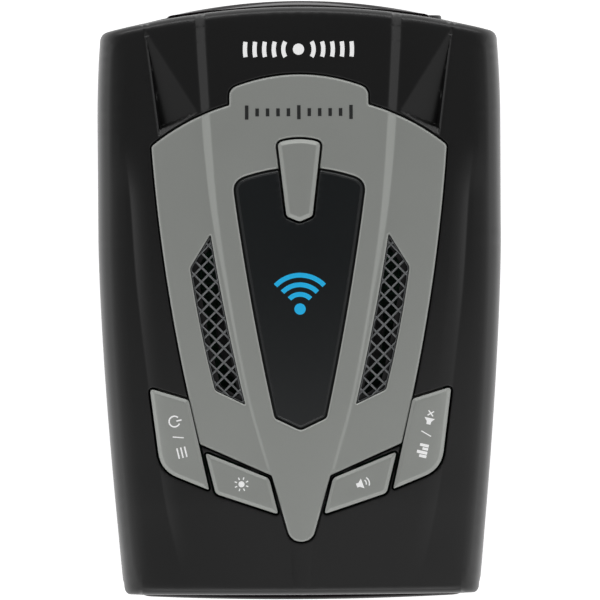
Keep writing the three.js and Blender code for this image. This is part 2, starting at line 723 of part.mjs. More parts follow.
BOARD_SCREWS.forEach(([x, y], i) => {
  add(`board_screw_${i + 1}`, screw(x, y, [1, 9, 16.5], [1.9, BOARD_TOP + GAP, 17.3]), STEEL);
});
HORN_SCREWS.forEach(([x, y], i) => {
  add(`horn_screw_${i + 1}`, screw(x, y, [1, 2.9, 8], [1.9, 7.3, 8.8]), STEEL);
});
add("main_board", mainBoard(), BOARD_GREEN);
add("microcontroller", box(-6, 6, -36, -24, BOARD_TOP + GAP, 17.3), FERRITE);
add("audio_amplifier", box(-23, -17, -10.5, -5.5, BOARD_TOP + GAP, 17.4), FERRITE);
add("capacitor_a", post(3, -22.5, -16, BOARD_TOP + GAP, 22, 20), TINNED);
add("capacitor_b", post(3, 22.5, -16, BOARD_TOP + GAP, 22, 20), TINNED);
add("power_choke", powerChoke(), FERRITE);
add("rf_shield", rfShield(), TINNED);
add("antenna_horn", antennaHorn(), CAST_ZINC);
add("laser_sensor", box(-24, -16, 36.5, 43.5, 12, 19), FERRITE);
add("laser_sensor_lens", sensorLens(), CLEAR_PLASTIC);
add("dc_jack", dcJack(), BLACK_PLASTIC);
add("display_module", box(-24, 24, -50.5, -47.6, 5, 17.6), GLASS_DARK);
add("display_gasket", displayGasket(), FOAM);
add("display_ribbon", displayRibbon(), FILM);
add("speaker_frame", speakerFrame(), STEEL);
add("speaker_cone", speakerCone(), PAPER);
add("speaker_magnet", post(6.5, 0, SPEAKER_Y, 16.4, 19, 24), FERRITE);
add("speaker_gasket", speakerGasket(), FOAM);
add("rating_label", box(-15.7, 15.7, -11.7, 11.7, 0.1, 0.5), LABEL);

export default detector;
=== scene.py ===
import json
import math

import bpy
import numpy as np
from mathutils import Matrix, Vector
from mathutils.geometry import delaunay_2d_cdt


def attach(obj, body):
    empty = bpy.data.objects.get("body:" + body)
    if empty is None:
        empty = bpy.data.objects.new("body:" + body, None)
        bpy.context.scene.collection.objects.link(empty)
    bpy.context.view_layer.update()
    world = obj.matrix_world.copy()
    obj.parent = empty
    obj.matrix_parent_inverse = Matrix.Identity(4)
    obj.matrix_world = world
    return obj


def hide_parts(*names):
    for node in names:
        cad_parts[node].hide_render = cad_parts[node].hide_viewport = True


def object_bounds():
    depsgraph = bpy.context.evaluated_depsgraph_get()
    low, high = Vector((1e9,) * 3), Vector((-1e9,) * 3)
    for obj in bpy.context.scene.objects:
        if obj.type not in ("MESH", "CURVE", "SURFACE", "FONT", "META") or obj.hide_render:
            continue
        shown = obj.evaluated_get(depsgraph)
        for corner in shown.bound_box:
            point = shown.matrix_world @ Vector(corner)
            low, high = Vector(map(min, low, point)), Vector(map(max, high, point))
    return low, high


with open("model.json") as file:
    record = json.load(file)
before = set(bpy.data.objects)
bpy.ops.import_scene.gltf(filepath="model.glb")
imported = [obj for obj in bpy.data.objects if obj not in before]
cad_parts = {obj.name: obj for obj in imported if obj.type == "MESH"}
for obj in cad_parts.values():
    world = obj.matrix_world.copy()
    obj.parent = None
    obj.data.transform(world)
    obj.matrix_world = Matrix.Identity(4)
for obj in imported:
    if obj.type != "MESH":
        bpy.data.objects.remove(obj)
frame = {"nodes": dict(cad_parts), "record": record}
CAD_LOW, CAD_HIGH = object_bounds()

# A radar detector lying on its flat underside on a pale floor, seen from straight above. Shapes are worked out
# in millimetres in the frame of the model: +Y towards the nose, -Y towards the display end, +Z upwards.
MM = 0.001


# ---------------------------------------------------------------- camera, floor and light
CAMERA_HEIGHT = 1.4
VIEW_WIDTH = 0.10745  # what the picture spans at the height of the case's widest line
WIDEST_HEIGHT = 0.018
CAMERA_ROLL = math.radians(-0.35)


def make_camera():
    data = bpy.data.cameras.new("camera")
    data.sensor_width = 36
    data.lens = data.sensor_width * (CAMERA_HEIGHT - WIDEST_HEIGHT) / VIEW_WIDTH
    data.clip_start = 0.01
    camera = bpy.data.objects.new("camera", data)
    camera.location = (0, 0, CAMERA_HEIGHT)
    camera.rotation_euler = (0, 0, CAMERA_ROLL)
    bpy.context.scene.collection.objects.link(camera)
    bpy.context.scene.camera = camera


FLOOR_HALF = 6.0
FLOOR_GAP = 0.0002  # between the floor and the underside
FLOOR_GRAIN = 900
FLOOR_SHADES = (0.84, 0.88)
FLOOR_GLOW = 0.75


def make_floor():
    half = FLOOR_HALF
    corners = [(-half, -half, 0), (half, -half, 0), (half, half, 0), (-half, half, 0)]
    mesh = bpy.data.meshes.new("floor")
    mesh.from_pydata(corners, [], [(0, 1, 2, 3)])
    floor = bpy.data.objects.new("floor", mesh)
    floor.location.z = CAD_LOW.z - FLOOR_GAP
    bpy.context.scene.collection.objects.link(floor)
    material = bpy.data.materials.new("floor_paper")
    material.use_nodes = True
    nodes, links = material.node_tree.nodes, material.node_tree.links
    shader = nodes["Principled BSDF"]
    shader.inputs["Roughness"].default_value = 0.9
    shader.inputs["Specular IOR Level"].default_value = 0.1
    grain = nodes.new("ShaderNodeTexNoise")
    grain.inputs["Scale"].default_value = FLOOR_GRAIN
    tint = nodes.new("ShaderNodeMapRange")
    tint.inputs["To Min"].default_value, tint.inputs["To Max"].default_value = FLOOR_SHADES
    links.new(grain.outputs["Fac"], tint.inputs["Value"])
    links.new(tint.outputs["Result"], shader.inputs["Base Color"])
    shader.inputs["Emission Color"].default_value = (1, 1, 1, 1)
    shader.inputs["Emission Strength"].default_value = FLOOR_GLOW
    floor.data.materials.append(material)


def area_light(name, place, size, power):
    """A softbox that faces the origin."""
    data = bpy.data.lights.new(name, "AREA")
    data.shape = "RECTANGLE"
    data.size, data.size_y = size
    data.energy = power
    light = bpy.data.objects.new(name, data)
    light.location = place
    light.rotation_euler = (-Vector(place)).to_track_quat("-Z", "Y").to_euler()
    bpy.context.scene.collection.objects.link(light)


# How bright the studio is at the sine of a height above the horizon: white walls under a dark ceiling.
STUDIO = [
    (0.0, 0.6),
    (0.18, 0.76),
    (0.35, 0.92),
    (0.5, 0.74),
    (0.64, 0.45),
    (0.77, 0.3),
    (0.87, 0.22),
    (0.97, 0.15),
    (1.0, 0.05),
]
STUDIO_STRENGTH = 1.12
# (name, place in metres, size in metres, power in watts)
SOFTBOXES = [
    ("left_softbox", (-1.1, 0.05, 0.2), (1.5, 0.25), 0.6),
    ("right_softbox", (1.1, 0.05, 0.2), (1.5, 0.25), 0.6),
    ("front_softbox", (0, 0.95, 0.62), (1.4, 0.25), 3.4),
    ("rear_softbox", (0, -0.97, 0.6), (1.4, 0.25), 1.8),
    ("rear_overhead", (0, -0.55, 1.5), (0.9, 0.5), 0.65),
    ("right_high", (0.7, -0.46, 1.24), (0.6, 0.6), 0.4),
    ("left_high", (-0.7, -0.46, 1.24), (0.6, 0.6), 0.12),
]


def make_lights():
    for softbox in SOFTBOXES:
        area_light(*softbox)
    world = bpy.data.worlds.new("studio")
    world.use_nodes = True
    nodes, links = world.node_tree.nodes, world.node_tree.links
    direction = nodes.new("ShaderNodeTexCoord")
    parts = nodes.new("ShaderNodeSeparateXYZ")
    ramp = nodes.new("ShaderNodeValToRGB")
    links.new(direction.outputs["Generated"], parts.inputs["Vector"])
    links.new(parts.outputs["Z"], ramp.inputs["Fac"])
    links.new(ramp.outputs["Color"], nodes["Background"].inputs["Color"])
    stops = ramp.color_ramp.elements
    while len(stops) < len(STUDIO):
        stops.new(0.5)
    for stop, (sine, bright) in zip(stops, STUDIO):
        stop.position = sine
        stop.color = (bright, bright, bright, 1)
    nodes["Background"].inputs["Strength"].default_value = STUDIO_STRENGTH
    bpy.context.scene.world = world
    bpy.context.scene.view_settings.view_transform = "Standard"


# ---------------------------------------------------------------- plans
# An outline is an array of points, clockwise from above. A corner is (x, y, round, bow): round is how far its
# rounding reaches along both edges, and bow is how far the edge that leaves it bulges outwards.
def bezier(start, control, end, t):
    t = np.asarray(t)[:, None]
    return (1 - t) ** 2 * start + 2 * t * (1 - t) * control + t**2 * end


CORNER_STEPS = 7


def outline(corners, spacing=0.5):
    edges = []
    for i, (x, y, rounding, bow) in enumerate(corners):
        next_x, next_y, next_rounding, _ = corners[(i + 1) % len(corners)]
        start, end = np.array([x, y]), np.array([next_x, next_y])
        along = end - start
        length = np.hypot(*along)
        outwards = np.array([-along[1], along[0]]) / length
        control = (start + end) / 2 + 2 * bow * outwards
        edges.append((start, control, end, rounding / length, 1 - next_rounding / length, length))
    points = []
    for i, (start, control, end, t0, t1, length) in enumerate(edges):
        after = edges[(i + 1) % len(edges)]
        steps = max(2, round(length / spacing))
        points.append(bezier(start, control, end, np.linspace(t0, t1, steps + 1)))
        leave = points[-1][-1]
        arrive = bezier(after[0], after[1], after[2], [after[3]])[0]
        if np.hypot(*(arrive - leave)) > 1e-6:
            points.append(bezier(leave, end, arrive, np.linspace(0, 1, CORNER_STEPS + 1)[1:-1]))
        else:
            points[-1] = points[-1][:-1]
    return np.vstack(points)


def mirrored_corners(half, front_bow):
    other = [(-x, y, r, half[i - 1][3] if i else front_bow) for i, (x, y, r, _) in enumerate(half)]
    return [*half, *other[::-1]]


def flipped(points):
    return (points * [-1, 1])[::-1]


def offset(points, distance):
    before, after = np.roll(points, 1, axis=0), np.roll(points, -1, axis=0)
    one = (points - before) / np.linalg.norm(points - before, axis=1)[:, None]
    two = (after - points) / np.linalg.norm(after - points, axis=1)[:, None]
    bisector = np.stack([-one[:, 1] - two[:, 1], one[:, 0] + two[:, 0]], axis=1)
    return points + bisector * (distance / (np.sum(bisector**2, axis=1) / 2))[:, None]


def circle(radius, x, y, steps=32):
    turn = np.linspace(0, 2 * math.pi, steps, endpoint=False)[::-1]
    return np.stack([x + radius * np.cos(turn), y + radius * np.sin(turn)], axis=1)


def rectangle(x0, x1, y0, y1, rounding=0.1, spacing=0.7):
    corners = ((x0, y1), (x1, y1), (x1, y0), (x0, y0))
    return outline([(x, y, rounding, 0) for x, y in corners], spacing)


GAP = 0.3
PLATE = outline(
    mirrored_corners(
        [
            (12.3, 37.5, 1.3, 0),
            (12.3, 34.6, 0.3, 0.8),
            (26.2, 27.4, 0.5, 1.1),
            (17.95, -25.5, 0.25, 0),
            (5.2, -31.2, 0.25, 0),
            (2.1, -42.2, 0.9, 0.8),
        ],
        2.5,
    )
)
INSERT = outline(
    [
        (11.6, 21, 1.9, 0.45),
        (4.4, -20.8, 0.4, 0),
        (0, -22.9, 0.5, 0),
        (-4.4, -20.8, 0.4, 0.45),
        (-11.6, 21, 1.9, 2.3),
    ]
)
RELEASE = outline(
    [
        (3.8, 27.9, 0.8, 0),
        (2.3, 14.9, 0.5, 0),
        (0, 13.9, 0.5, 0),
        (-2.3, 14.9, 0.5, 0),
        (-3.8, 27.9, 0.8, 0.6),
    ],
    0.4,
)
SPEAKER_SLOT = outline(
    [(15.8, 11.8, 0.5, 0), (19.5, 5.8, 0.5, 0.3), (15.2, -16, 0.5, 0), (9.8, -18.6, 0.4, -0.3)]
)
GRILLE_HOLE = outline(
    [(15.7, 9.8, 0.6, 0.1), (18.2, 5.6, 0.8, 0.3), (14.2, -15.2, 0.8, 0), (10.9, -17.2, 0.6, -0.3)]
)
BIG_KEY = outline([(19.9, -17.7, 0.5, 0), (26.8, -15.6, 0.9, 0), (25, -30.2, 3.2, 0), (16.4, -33.7, 0.4, 0)])
SMALL_KEY = outline([(5.7, -31.7, 0.7, 0), (17, -27.1, 0.7, 0), (15.2, -34.4, 0.7, 0), (4.1, -38.1, 0.7, 0)])


# ---------------------------------------------------------------- the cover's surface
HALF_WIDTH = 36
WIDEST_Y = 11
SHOULDER_Y = 32
PARTING_Z = 14
SKIN = 2.6
WALL = 2.4
SPINE_Z = 31.5
SPINE_Y = 22
NOSE_Y = 52.1
NOSE_BEND = 0.0036
LIP_Y = 53.3
LIP_BEND = 0.0045
REAR_Y = -52.6
PLATE_PROUD = 0.25
PLATE_DEPTH = 1.0
POCKET_DEPTH = PLATE_DEPTH + GAP
KEY_PROUD = 0.6
RIDGE_X = [(-56, 1.4), (-42, 2.3), (-30, 5.6), (-18, 8.9), (0, 12.3), (18, 14.7), (43, 16.3), (56, 16.8)]
RIDGE_WIDTH = [(-56, 0.3), (-18, 0.4), (0, 0.55), (18, 1.3), (43, 1.7), (56, 1.7)]
RIDGE_DROP = [
    (-56, 0),
    (-38, 0),
    (-36, 0),
    (-29, 0.32),
    (-18, 0.35),
    (0, 0.45),
    (18, 0.85),
    (43, 1.12),
    (56, 1.2),
]
CREASE_X = [(-56, 19), (-43, 22.5), (-32, 24.6), (0, 28.5), (18, 29.8), (28, 30.6), (56, 30.6)]
CREASE_DROP = [(-56, 0), (-50, 0), (-40, 0.35), (-30, 0.4), (-10, 0.5), (18, 0.75), (28, 0), (56, 0)]
CREASE_WIDTH = 3
ROLL_REACH = 5.5  # how far in from the side its rounding starts
CROWN = 0.2
ROLL_DROP = 7
ROLL_POWER = 2.8
NOSE_FILLET = 1.5
REAR_FILLET = 1.9
REAR_POWER = 2.6


def through(pairs, at):
    """A smooth curve through (place, value) pairs, at an array of places."""
    place = np.array([p for p, _ in pairs], float)
    value = np.array([v for _, v in pairs], float)
    low = np.maximum(np.arange(len(pairs)) - 1, 0)
    high = np.minimum(np.arange(len(pairs)) + 1, len(pairs) - 1)
    slope = (value[high] - value[low]) / (place[high] - place[low])
    at = np.clip(at, place[0], place[-1])
    i = np.clip(np.searchsorted(place, at, side="right") - 1, 0, len(pairs) - 2)
    span = place[i + 1] - place[i]
    t = (at - place[i]) / span
    rise = 3 * t**2 - 2 * t**3
    start = slope[i] * span * (t - 2 * t**2 + t**3)
    end = slope[i + 1] * span * (t**3 - t**2)
    return value[i] + (value[i + 1] - value[i]) * rise + start + end


def half_width(y):
    behind = 0.0082 * np.maximum(WIDEST_Y - y, 0) ** 1.5
    ahead = 0.0025 * np.maximum(y - SHOULDER_Y, 0) ** 2
    return HALF_WIDTH - behind - ahead


def soft_positive(t, softness):
    """t where it is positive and 0 where it is negative, rounded off between."""
    return (t + np.sqrt(t**2 + softness**2)) / 2


def soft_ramp(t, width, softness):
    return (soft_positive(t, softness) - soft_positive(t - width, softness)) / width


def rounded(distance, reach, drop, power=2.0):
    """How far an edge has fallen at a distance from it: a quarter ellipse, squarer at a higher power."""
    u = np.clip((reach - distance) / reach, 0, 1)
    return drop * (1 - (1 - u**power) ** (1 / power))


SCOOP_APEX = np.array([27.6, 48.9])
SCOOP_OUTER = np.array([25.2, 30.1])
SCOOP_INNER = np.array([17.9, 33.4])
SCOOP_REAR = np.array([25.5, 28.7])  # outer end of the rear wall's top edge
SCOOP_DEPTH = 2.6


def side_of(x, y, start, end):
    """Distance to the left of the line from start to end."""
    along = (end - start) / np.hypot(*(end - start))
    return (y - start[1]) * along[0] - (x - start[0]) * along[1]


def scoop_wall(distance, width, slope, steep):
    """How deep a wall lets the scoop be at a distance from its top edge: a bevel, then a steep face."""
    return np.maximum(slope * distance, slope * width + steep * (distance - width))


def scoop(x, y):
    ax = np.abs(x)
    whole = -side_of(*SCOOP_OUTER, SCOOP_INNER, SCOOP_APEX)
    facet = SCOOP_DEPTH * -side_of(ax, y, SCOOP_INNER, SCOOP_APEX) / whole
    outer = scoop_wall(side_of(ax, y, SCOOP_OUTER, SCOOP_APEX), 0.4, 0.8, 5)
    strip = 1.15 * np.clip(facet / SCOOP_DEPTH, 0, 1)
    rear = scoop_wall(-side_of(ax, y, SCOOP_REAR, SCOOP_INNER), strip, 0.6, 3)
    return np.maximum(np.minimum(facet, np.minimum(outer, rear)), 0)


def cover(x, y):
    """Height of the cover before its edges are rounded."""
    ax = np.abs(x)
    inner = through(RIDGE_X, y)
    width = through(RIDGE_WIDTH, y)
    outer = inner + width
    crease = through(CREASE_X, y)
    bend = np.where(y < SPINE_Y, 0.0012, 0.0015)
    z = SPINE_Z - bend * (y - SPINE_Y) ** 2
    z = z - CROWN * np.minimum(ax / inner, 1) ** 2
    z = z - through(RIDGE_DROP, y) * soft_ramp(ax - inner, width, 0.12)
    beyond = soft_positive(ax - outer, 0.3)
    z = z - 0.04 * beyond - 0.004 * beyond**2
    towards = np.clip((ax - crease - 0.3) / CREASE_WIDTH + 1, 0, 1)
    return z - through(CREASE_DROP, y) * towards**2


def case_top(x, y):
    """Height of the case's outside, with its sides rolled down and its front and rear edges rounded."""
    width = half_width(y)
    start = np.maximum(through(CREASE_X, y) + 0.6, width - ROLL_REACH)
    z = cover(x, y)
    at_start = cover(start, y)
    drop = np.minimum(ROLL_DROP, at_start - PARTING_Z - 1)
    z = z - rounded(width - np.abs(x), width - start, drop, ROLL_POWER)
    z = z - rounded(NOSE_Y - NOSE_BEND * x**2 - y, NOSE_FILLET, NOSE_FILLET)
    z = z - rounded(y - REAR_Y, REAR_FILLET, REAR_FILLET, REAR_POWER)
    return z - scoop(x, y)


CORNER_START_X = 33.9
CORNER_Y = 47.6
CORNER_REACH = 1.6


def case_plan(front_y, front_bend, inset):
    """The case in plan, drawn in by inset, with its corners rounded. A larger inset gives fewer points."""

    def side(y):
        return half_width(np.asarray(y, float)) - inset

    def front(x):
        return front_y - inset - front_bend * x**2

    rear_y = REAR_Y + inset
    corner_x = CORNER_START_X - inset
    widest = side(CORNER_Y)
    shoulder_y = front(widest) - CORNER_REACH
    xs = np.linspace(1 - corner_x, corner_x - 1, 61)
    nose = bezier(
        np.array([corner_x, front(corner_x)]),
        np.array([widest, front(widest)]),
        np.array([side(shoulder_y), shoulder_y]),
        np.linspace(0, 1, 13),
    )
    ys = np.arange(shoulder_y - 0.9, -50, -1.0)
    ys = ys[ys > rear_y + 2.2]
    tail = bezier(
        np.array([side(rear_y), rear_y + 1.8]),
        np.array([side(rear_y), rear_y]),
        np.array([side(rear_y) - 1.4, rear_y]),
        np.linspace(0, 1, 8),
    )
    rear_xs = np.linspace(tail[-1][0], 0, 30)[1:-1]
    rear = np.stack([rear_xs, np.full(len(rear_xs), rear_y)], axis=1)
    right = np.vstack([nose, np.stack([side(ys), ys], axis=1), tail, rear])
    middle = np.array([[0, rear_y]])
    head = np.stack([xs, front(xs)], axis=1)
    return np.vstack([head, right, middle, flipped(right)])


# ---------------------------------------------------------------- meshes
def inside(points, loop):
    """Which points are inside the loop, by how often a ray crosses it."""
    result = np.zeros(len(points), bool)
    low, high = loop.min(0), loop.max(0)
    near = np.flatnonzero(np.all((points >= low) & (points <= high), axis=1))
    start, end = loop, np.roll(loop, -1, axis=0)
    for chunk in np.array_split(near, max(1, len(near) // 4000)):
        x, y = points[chunk, 0][:, None], points[chunk, 1][:, None]
        spans = (start[:, 1] > y) != (end[:, 1] > y)
        rise = np.where(end[:, 1] == start[:, 1], 1, end[:, 1] - start[:, 1])
        crossing = start[:, 0] + (y - start[:, 1]) * (end[:, 0] - start[:, 0]) / rise
        result[chunk] = np.sum(spans & (x < crossing), axis=1) % 2 == 1
    return result


def distance_to(points, loop, reach):
    """Distance from each point to the loop, and reach where it is further than that."""
    result = np.full(len(points), float(reach))
    near = np.all((points >= loop.min(0) - reach) & (points <= loop.max(0) + reach), axis=1)
    near = np.flatnonzero(near)
    along = np.roll(loop, -1, axis=0) - loop
    square = np.maximum(np.sum(along**2, axis=1), 1e-12)
    for chunk in np.array_split(near, max(1, len(near) // 3000)):
        to = points[chunk][:, None, :] - loop[None]
        t = np.clip(np.sum(to * along, axis=2) / square, 0, 1)
        away = to - t[:, :, None] * along
        result[chunk] = np.minimum(np.sqrt(np.min(np.sum(away**2, axis=2), axis=1)), reach)
    return result


def spread(loops, rings, features, spacing, low, high):
    """Free points of a plan: rows beside every loop, points along the features, an even grid elsewhere."""
    rows = []
    for loop, distances in zip(loops, rings):
        for side in (-1, 1):
            for distance in distances:
                row = offset(loop, side * distance)
                rows.append(row[distance_to(row, loop, 20) > distance * 0.97])
    placed = np.vstack([*rows, *features]) if rows or features else np.empty((0, 2))
    for loop in loops:
        placed = placed[distance_to(placed, loop, 1) > 0.05]
    xs = np.arange(low[0] + spacing / 2, high[0], spacing)
    ys = np.arange(low[1] + spacing / 2, high[1], spacing * 0.866)
    grid = [(x + (spacing / 2 if j % 2 else 0), y) for j, y in enumerate(ys) for x in xs]
    grid = np.array(grid).reshape(-1, 2)
    for loop, distances in zip(loops, rings):
        keep_off = (max(distances) if len(distances) else 0) + 0.6 * spacing
        grid = grid[distance_to(grid, loop, keep_off) > keep_off * 0.999]
    if len(features):
        marks = np.vstack(features)
        cell = {(int(math.floor(x / spacing)), int(math.floor(y / spacing))) for x, y in marks}
        free = [(int(math.floor(x / spacing)), int(math.floor(y / spacing))) not in cell for x, y in grid]
        grid = grid[np.array(free, bool)]
    return np.vstack([placed, grid])


def triangulate(loops, free):
    coords = [Vector(p) for loop in loops for p in loop] + [Vector(p) for p in free]
    edges, first = [], 0
    for loop in loops:
        edges += [(first + i, first + (i + 1) % len(loop)) for i in range(len(loop))]
        first += len(loop)
    vertices, _, faces = delaunay_2d_cdt(coords, edges, [], 0, 1e-6, False)[:3]
    return np.array([tuple(v) for v in vertices]), np.array(faces)


def relief(outer, holes, tops, bottoms, rings, features=(), spacing=1.2, seams=(), where=None):
    """A closed solid between two surfaces over one plan.

    tops and bottoms are lists of (loop, height): the first one's loop is None, and a later one holds inside its
    loop, with an upright wall where it starts. Seams are more loops that its triangles keep to, and where says
    which places are solid.
    """
    steps = [loop for loop, _ in [*tops, *bottoms] if loop is not None]
    loops = [outer, *holes, *steps, *seams]
    all_rings = [rings[min(i, len(rings) - 1)] for i in range(len(loops))]
    free = spread(loops, all_rings, list(features), spacing, outer.min(0), outer.max(0))
    xy, triangles = triangulate(loops, free)
    centre = xy[triangles].mean(axis=1)
    kept = inside(centre, outer)
    for hole in holes:
        kept &= ~inside(centre, hole)
    if where is not None:
        kept &= where(centre)
    triangles, centre = triangles[kept], centre[kept]
    a, b, c = (xy[triangles[:, k]] for k in range(3))
    area = (b[:, 0] - a[:, 0]) * (c[:, 1] - a[:, 1]) - (c[:, 0] - a[:, 0]) * (b[:, 1] - a[:, 1])
    triangles[area < 0] = triangles[area < 0][:, ::-1]
    labels, heights = [], []
    for levels in (tops, bottoms):
        label = np.zeros(len(triangles), int)
        for k, (loop, _) in enumerate(levels):
            if loop is not None:
                label[inside(centre, loop)] = k
        labels.append(label)
        heights.append([height(xy) for _, height in levels])
    vertices, index = [], {}

    def vertex(point, side, level):
        key = (point, side, level)
        if key not in index:
            index[key] = len(vertices)
            vertices.append((xy[point][0], xy[point][1], heights[side][level][point]))
        return index[key]

    faces, edges = [], {}
    for i, (p, q, r) in enumerate(triangles.tolist()):
        top, bottom = int(labels[0][i]), int(labels[1][i])
        faces.append((vertex(p, 0, top), vertex(q, 0, top), vertex(r, 0, top)))
        faces.append((vertex(r, 1, bottom), vertex(q, 1, bottom), vertex(p, 1, bottom)))
        for start, end in ((p, q), (q, r), (r, p)):
            edges.setdefault((min(start, end), max(start, end)), []).append((start, end, top, bottom))
    stacks = {}
    for (point, _, _), number in index.items():
        stacks.setdefault(point, []).append(number)

    def between(point, low, high):
        """The vertices over a point that a wall's upright edge passes on its way up."""
        heights_of = {number: vertices[number][2] for number in stacks[point]}
        low_z, high_z = heights_of[low], heights_of[high]
        found = [number for number in stacks[point] if low_z + 1e-7 < heights_of[number] < high_z - 1e-7]
        return sorted(found, key=heights_of.get)

    def wall(start, end, low, high):
        (low_side, low_level), (high_side, high_level) = low, high
        low_start, low_end = vertex(start, low_side, low_level), vertex(end, low_side, low_level)
        high_start, high_end = vertex(start, high_side, high_level), vertex(end, high_side, high_level)
        up = between(end, low_end, high_end)
        down = between(start, low_start, high_start)[::-1]
        faces.append((low_start, low_end, *up, high_end, high_start, *down))

    for users in edges.values():
        start, end, top, bottom = users[0]
        if len(users) == 1:
            wall(start, end, (1, bottom), (0, top))
            continue
        _, _, other_top, other_bottom = users[1]
        if top != other_top:
            if vertices[vertex(start, 0, top)][2] > vertices[vertex(start, 0, other_top)][2]:
                wall(start, end, (0, other_top), (0, top))
            else:
                wall(end, start, (0, top), (0, other_top))
        if bottom != other_bottom:
            if vertices[vertex(start, 1, bottom)][2] < vertices[vertex(start, 1, other_bottom)][2]:
                wall(start, end, (1, bottom), (1, other_bottom))
            else:
                wall(end, start, (1, other_bottom), (1, bottom))
    return vertices, faces


def loft(sections):
    """A solid through rings of points, flat at both ends. It closes only if all rings have equally many."""
    count = len(sections[0])
    vertices = [tuple(p) for section in sections for p in section]
    faces = [tuple(range(count))[::-1], tuple(range(len(vertices) - count, len(vertices)))]
    for i in range(len(sections) - 1):
        for j in range(count):
            k = (j + 1) % count
            faces.append((i * count + j, i * count + k, (i + 1) * count + k, (i + 1) * count + j))
    return vertices, faces


def level(plan, z):
    """A plan as a ring of points at one height."""
    return np.column_stack([plan, np.full(len(plan), float(z))])


def merged(parts):
    vertices, faces = [], []
    for part_vertices, part_faces in parts:
        first = len(vertices)
        vertices += part_vertices
        faces += [tuple(first + i for i in face) for face in part_faces]
    return vertices, faces


SHARP_ANGLE = math.radians(34)


def make_object(name, solid):
    vertices, faces = solid
    mesh = bpy.data.meshes.new(name)
    mesh.from_pydata([tuple(float(c) * MM for c in v) for v in vertices], [], faces)
    mesh.validate()
    mesh.shade_smooth()
    mesh.set_sharp_from_angle(angle=SHARP_ANGLE)
    made = bpy.data.objects.new(name, mesh)
    bpy.context.scene.collection.objects.link(made)
    return made


def place(made, material, body, slot, *replaced):
    evened = made.modifiers.new("evened_normals", "WEIGHTED_NORMAL")
    evened.keep_sharp = True
    made.data.materials.clear()
    made.data.materials.append(material)
    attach(made, body)
    if replaced:
        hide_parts(*replaced)
    return made


def carve(made, cutter, operation="DIFFERENCE"):
    """Cuts a solid out of an object, or joins it on. An object that isn't manifold is left as it was."""
    tool = make_object("cutter", cutter)
    modifier = made.modifiers.new("carve", "BOOLEAN")
    modifier.operation = operation
    modifier.solver = "MANIFOLD"
    modifier.object = tool
    graph = bpy.context.evaluated_depsgraph_get()
    mesh = bpy.data.meshes.new_from_object(made.evaluated_get(graph))
    made.modifiers.clear()
    old, made.data = made.data, mesh
    bpy.data.meshes.remove(old)
    bpy.data.meshes.remove(tool.data)
    made.data.name = made.name
    made.data.shade_smooth()
    made.data.set_sharp_from_angle(angle=SHARP_ANGLE)


def block(x0, x1, y0, y1, z0, z1):
    ring = [(x0, y0), (x1, y0), (x1, y1), (x0, y1)]
    return loft([[(x, y, z) for x, y in ring] for z in (z0, z1)])


def turned_along_y(profile, x, z, steps=48):
    """A round solid whose axis runs along Y; profile is (radius, y)."""
    turn = np.linspace(0, 2 * math.pi, steps, endpoint=False)[::-1]
    across, up = np.cos(turn), np.sin(turn)
    return loft([np.column_stack([x + r * across, np.full(steps, float(y)), z + r * up]) for r, y in profile])


def rod_along_y(radius, x, z, y0, y1, steps=48):
    return turned_along_y([(radius, y0), (radius, y1)], x, z, steps)


# ---------------------------------------------------------------- materials
def new_material(name):
    material = bpy.data.materials.new(name)
    material.use_nodes = True
    return material, material.node_tree.nodes, material.node_tree.links


def moulded(name, colour, roughness, grain, bump, metallic=0.0, variation=0.12, spread=0.05, **sockets):
    """A surface with a fine grain, a colour that varies a little and a roughness that varies with it."""
    material, nodes, links = new_material(name)
    shader = nodes["Principled BSDF"]
    shader.inputs["Metallic"].default_value = metallic
    for socket, value in sockets.items():
        shader.inputs[socket.replace("_", " ")].default_value = value
    coordinates = nodes.new("ShaderNodeTexCoord")
    broad = nodes.new("ShaderNodeTexNoise")
    broad.inputs["Scale"].default_value = 60
    broad.inputs["Detail"].default_value = 4
    fine = nodes.new("ShaderNodeTexNoise")
    fine.inputs["Scale"].default_value = grain
    fine.inputs["Detail"].default_value = 2
    for noise in (broad, fine):
        links.new(coordinates.outputs["Object"], noise.inputs["Vector"])
    tint = nodes.new("ShaderNodeMixRGB")
    tint.inputs["Color1"].default_value = (*[c * (1 - variation) for c in colour], 1)
    tint.inputs["Color2"].default_value = (*[min(1, c * (1 + variation)) for c in colour], 1)
    blend = nodes.new("ShaderNodeMath")
    blend.operation = "MULTIPLY_ADD"
    blend.inputs[1].default_value = 0.5
    half = nodes.new("ShaderNodeMath")
    half.operation = "MULTIPLY"
    half.inputs[1].default_value = 0.5
    links.new(fine.outputs["Fac"], half.inputs[0])
    links.new(broad.outputs["Fac"], blend.inputs[0])
    links.new(half.outputs[0], blend.inputs[2])
    links.new(blend.outputs[0], tint.inputs["Fac"])
    links.new(tint.outputs["Color"], shader.inputs["Base Color"])
    rough = nodes.new("ShaderNodeMapRange")
    rough.inputs["To Min"].default_value = max(roughness - spread, 0.02)
    rough.inputs["To Max"].default_value = min(roughness + spread, 1)
    links.new(blend.outputs[0], rough.inputs["Value"])
    links.new(rough.outputs["Result"], shader.inputs["Roughness"])
    bumps = nodes.new("ShaderNodeBump")
    bumps.inputs["Strength"].default_value = bump
    bumps.inputs["Distance"].default_value = 0.0001
    links.new(fine.outputs["Fac"], bumps.inputs["Height"])
    links.new(bumps.outputs["Normal"], shader.inputs["Normal"])
    return material


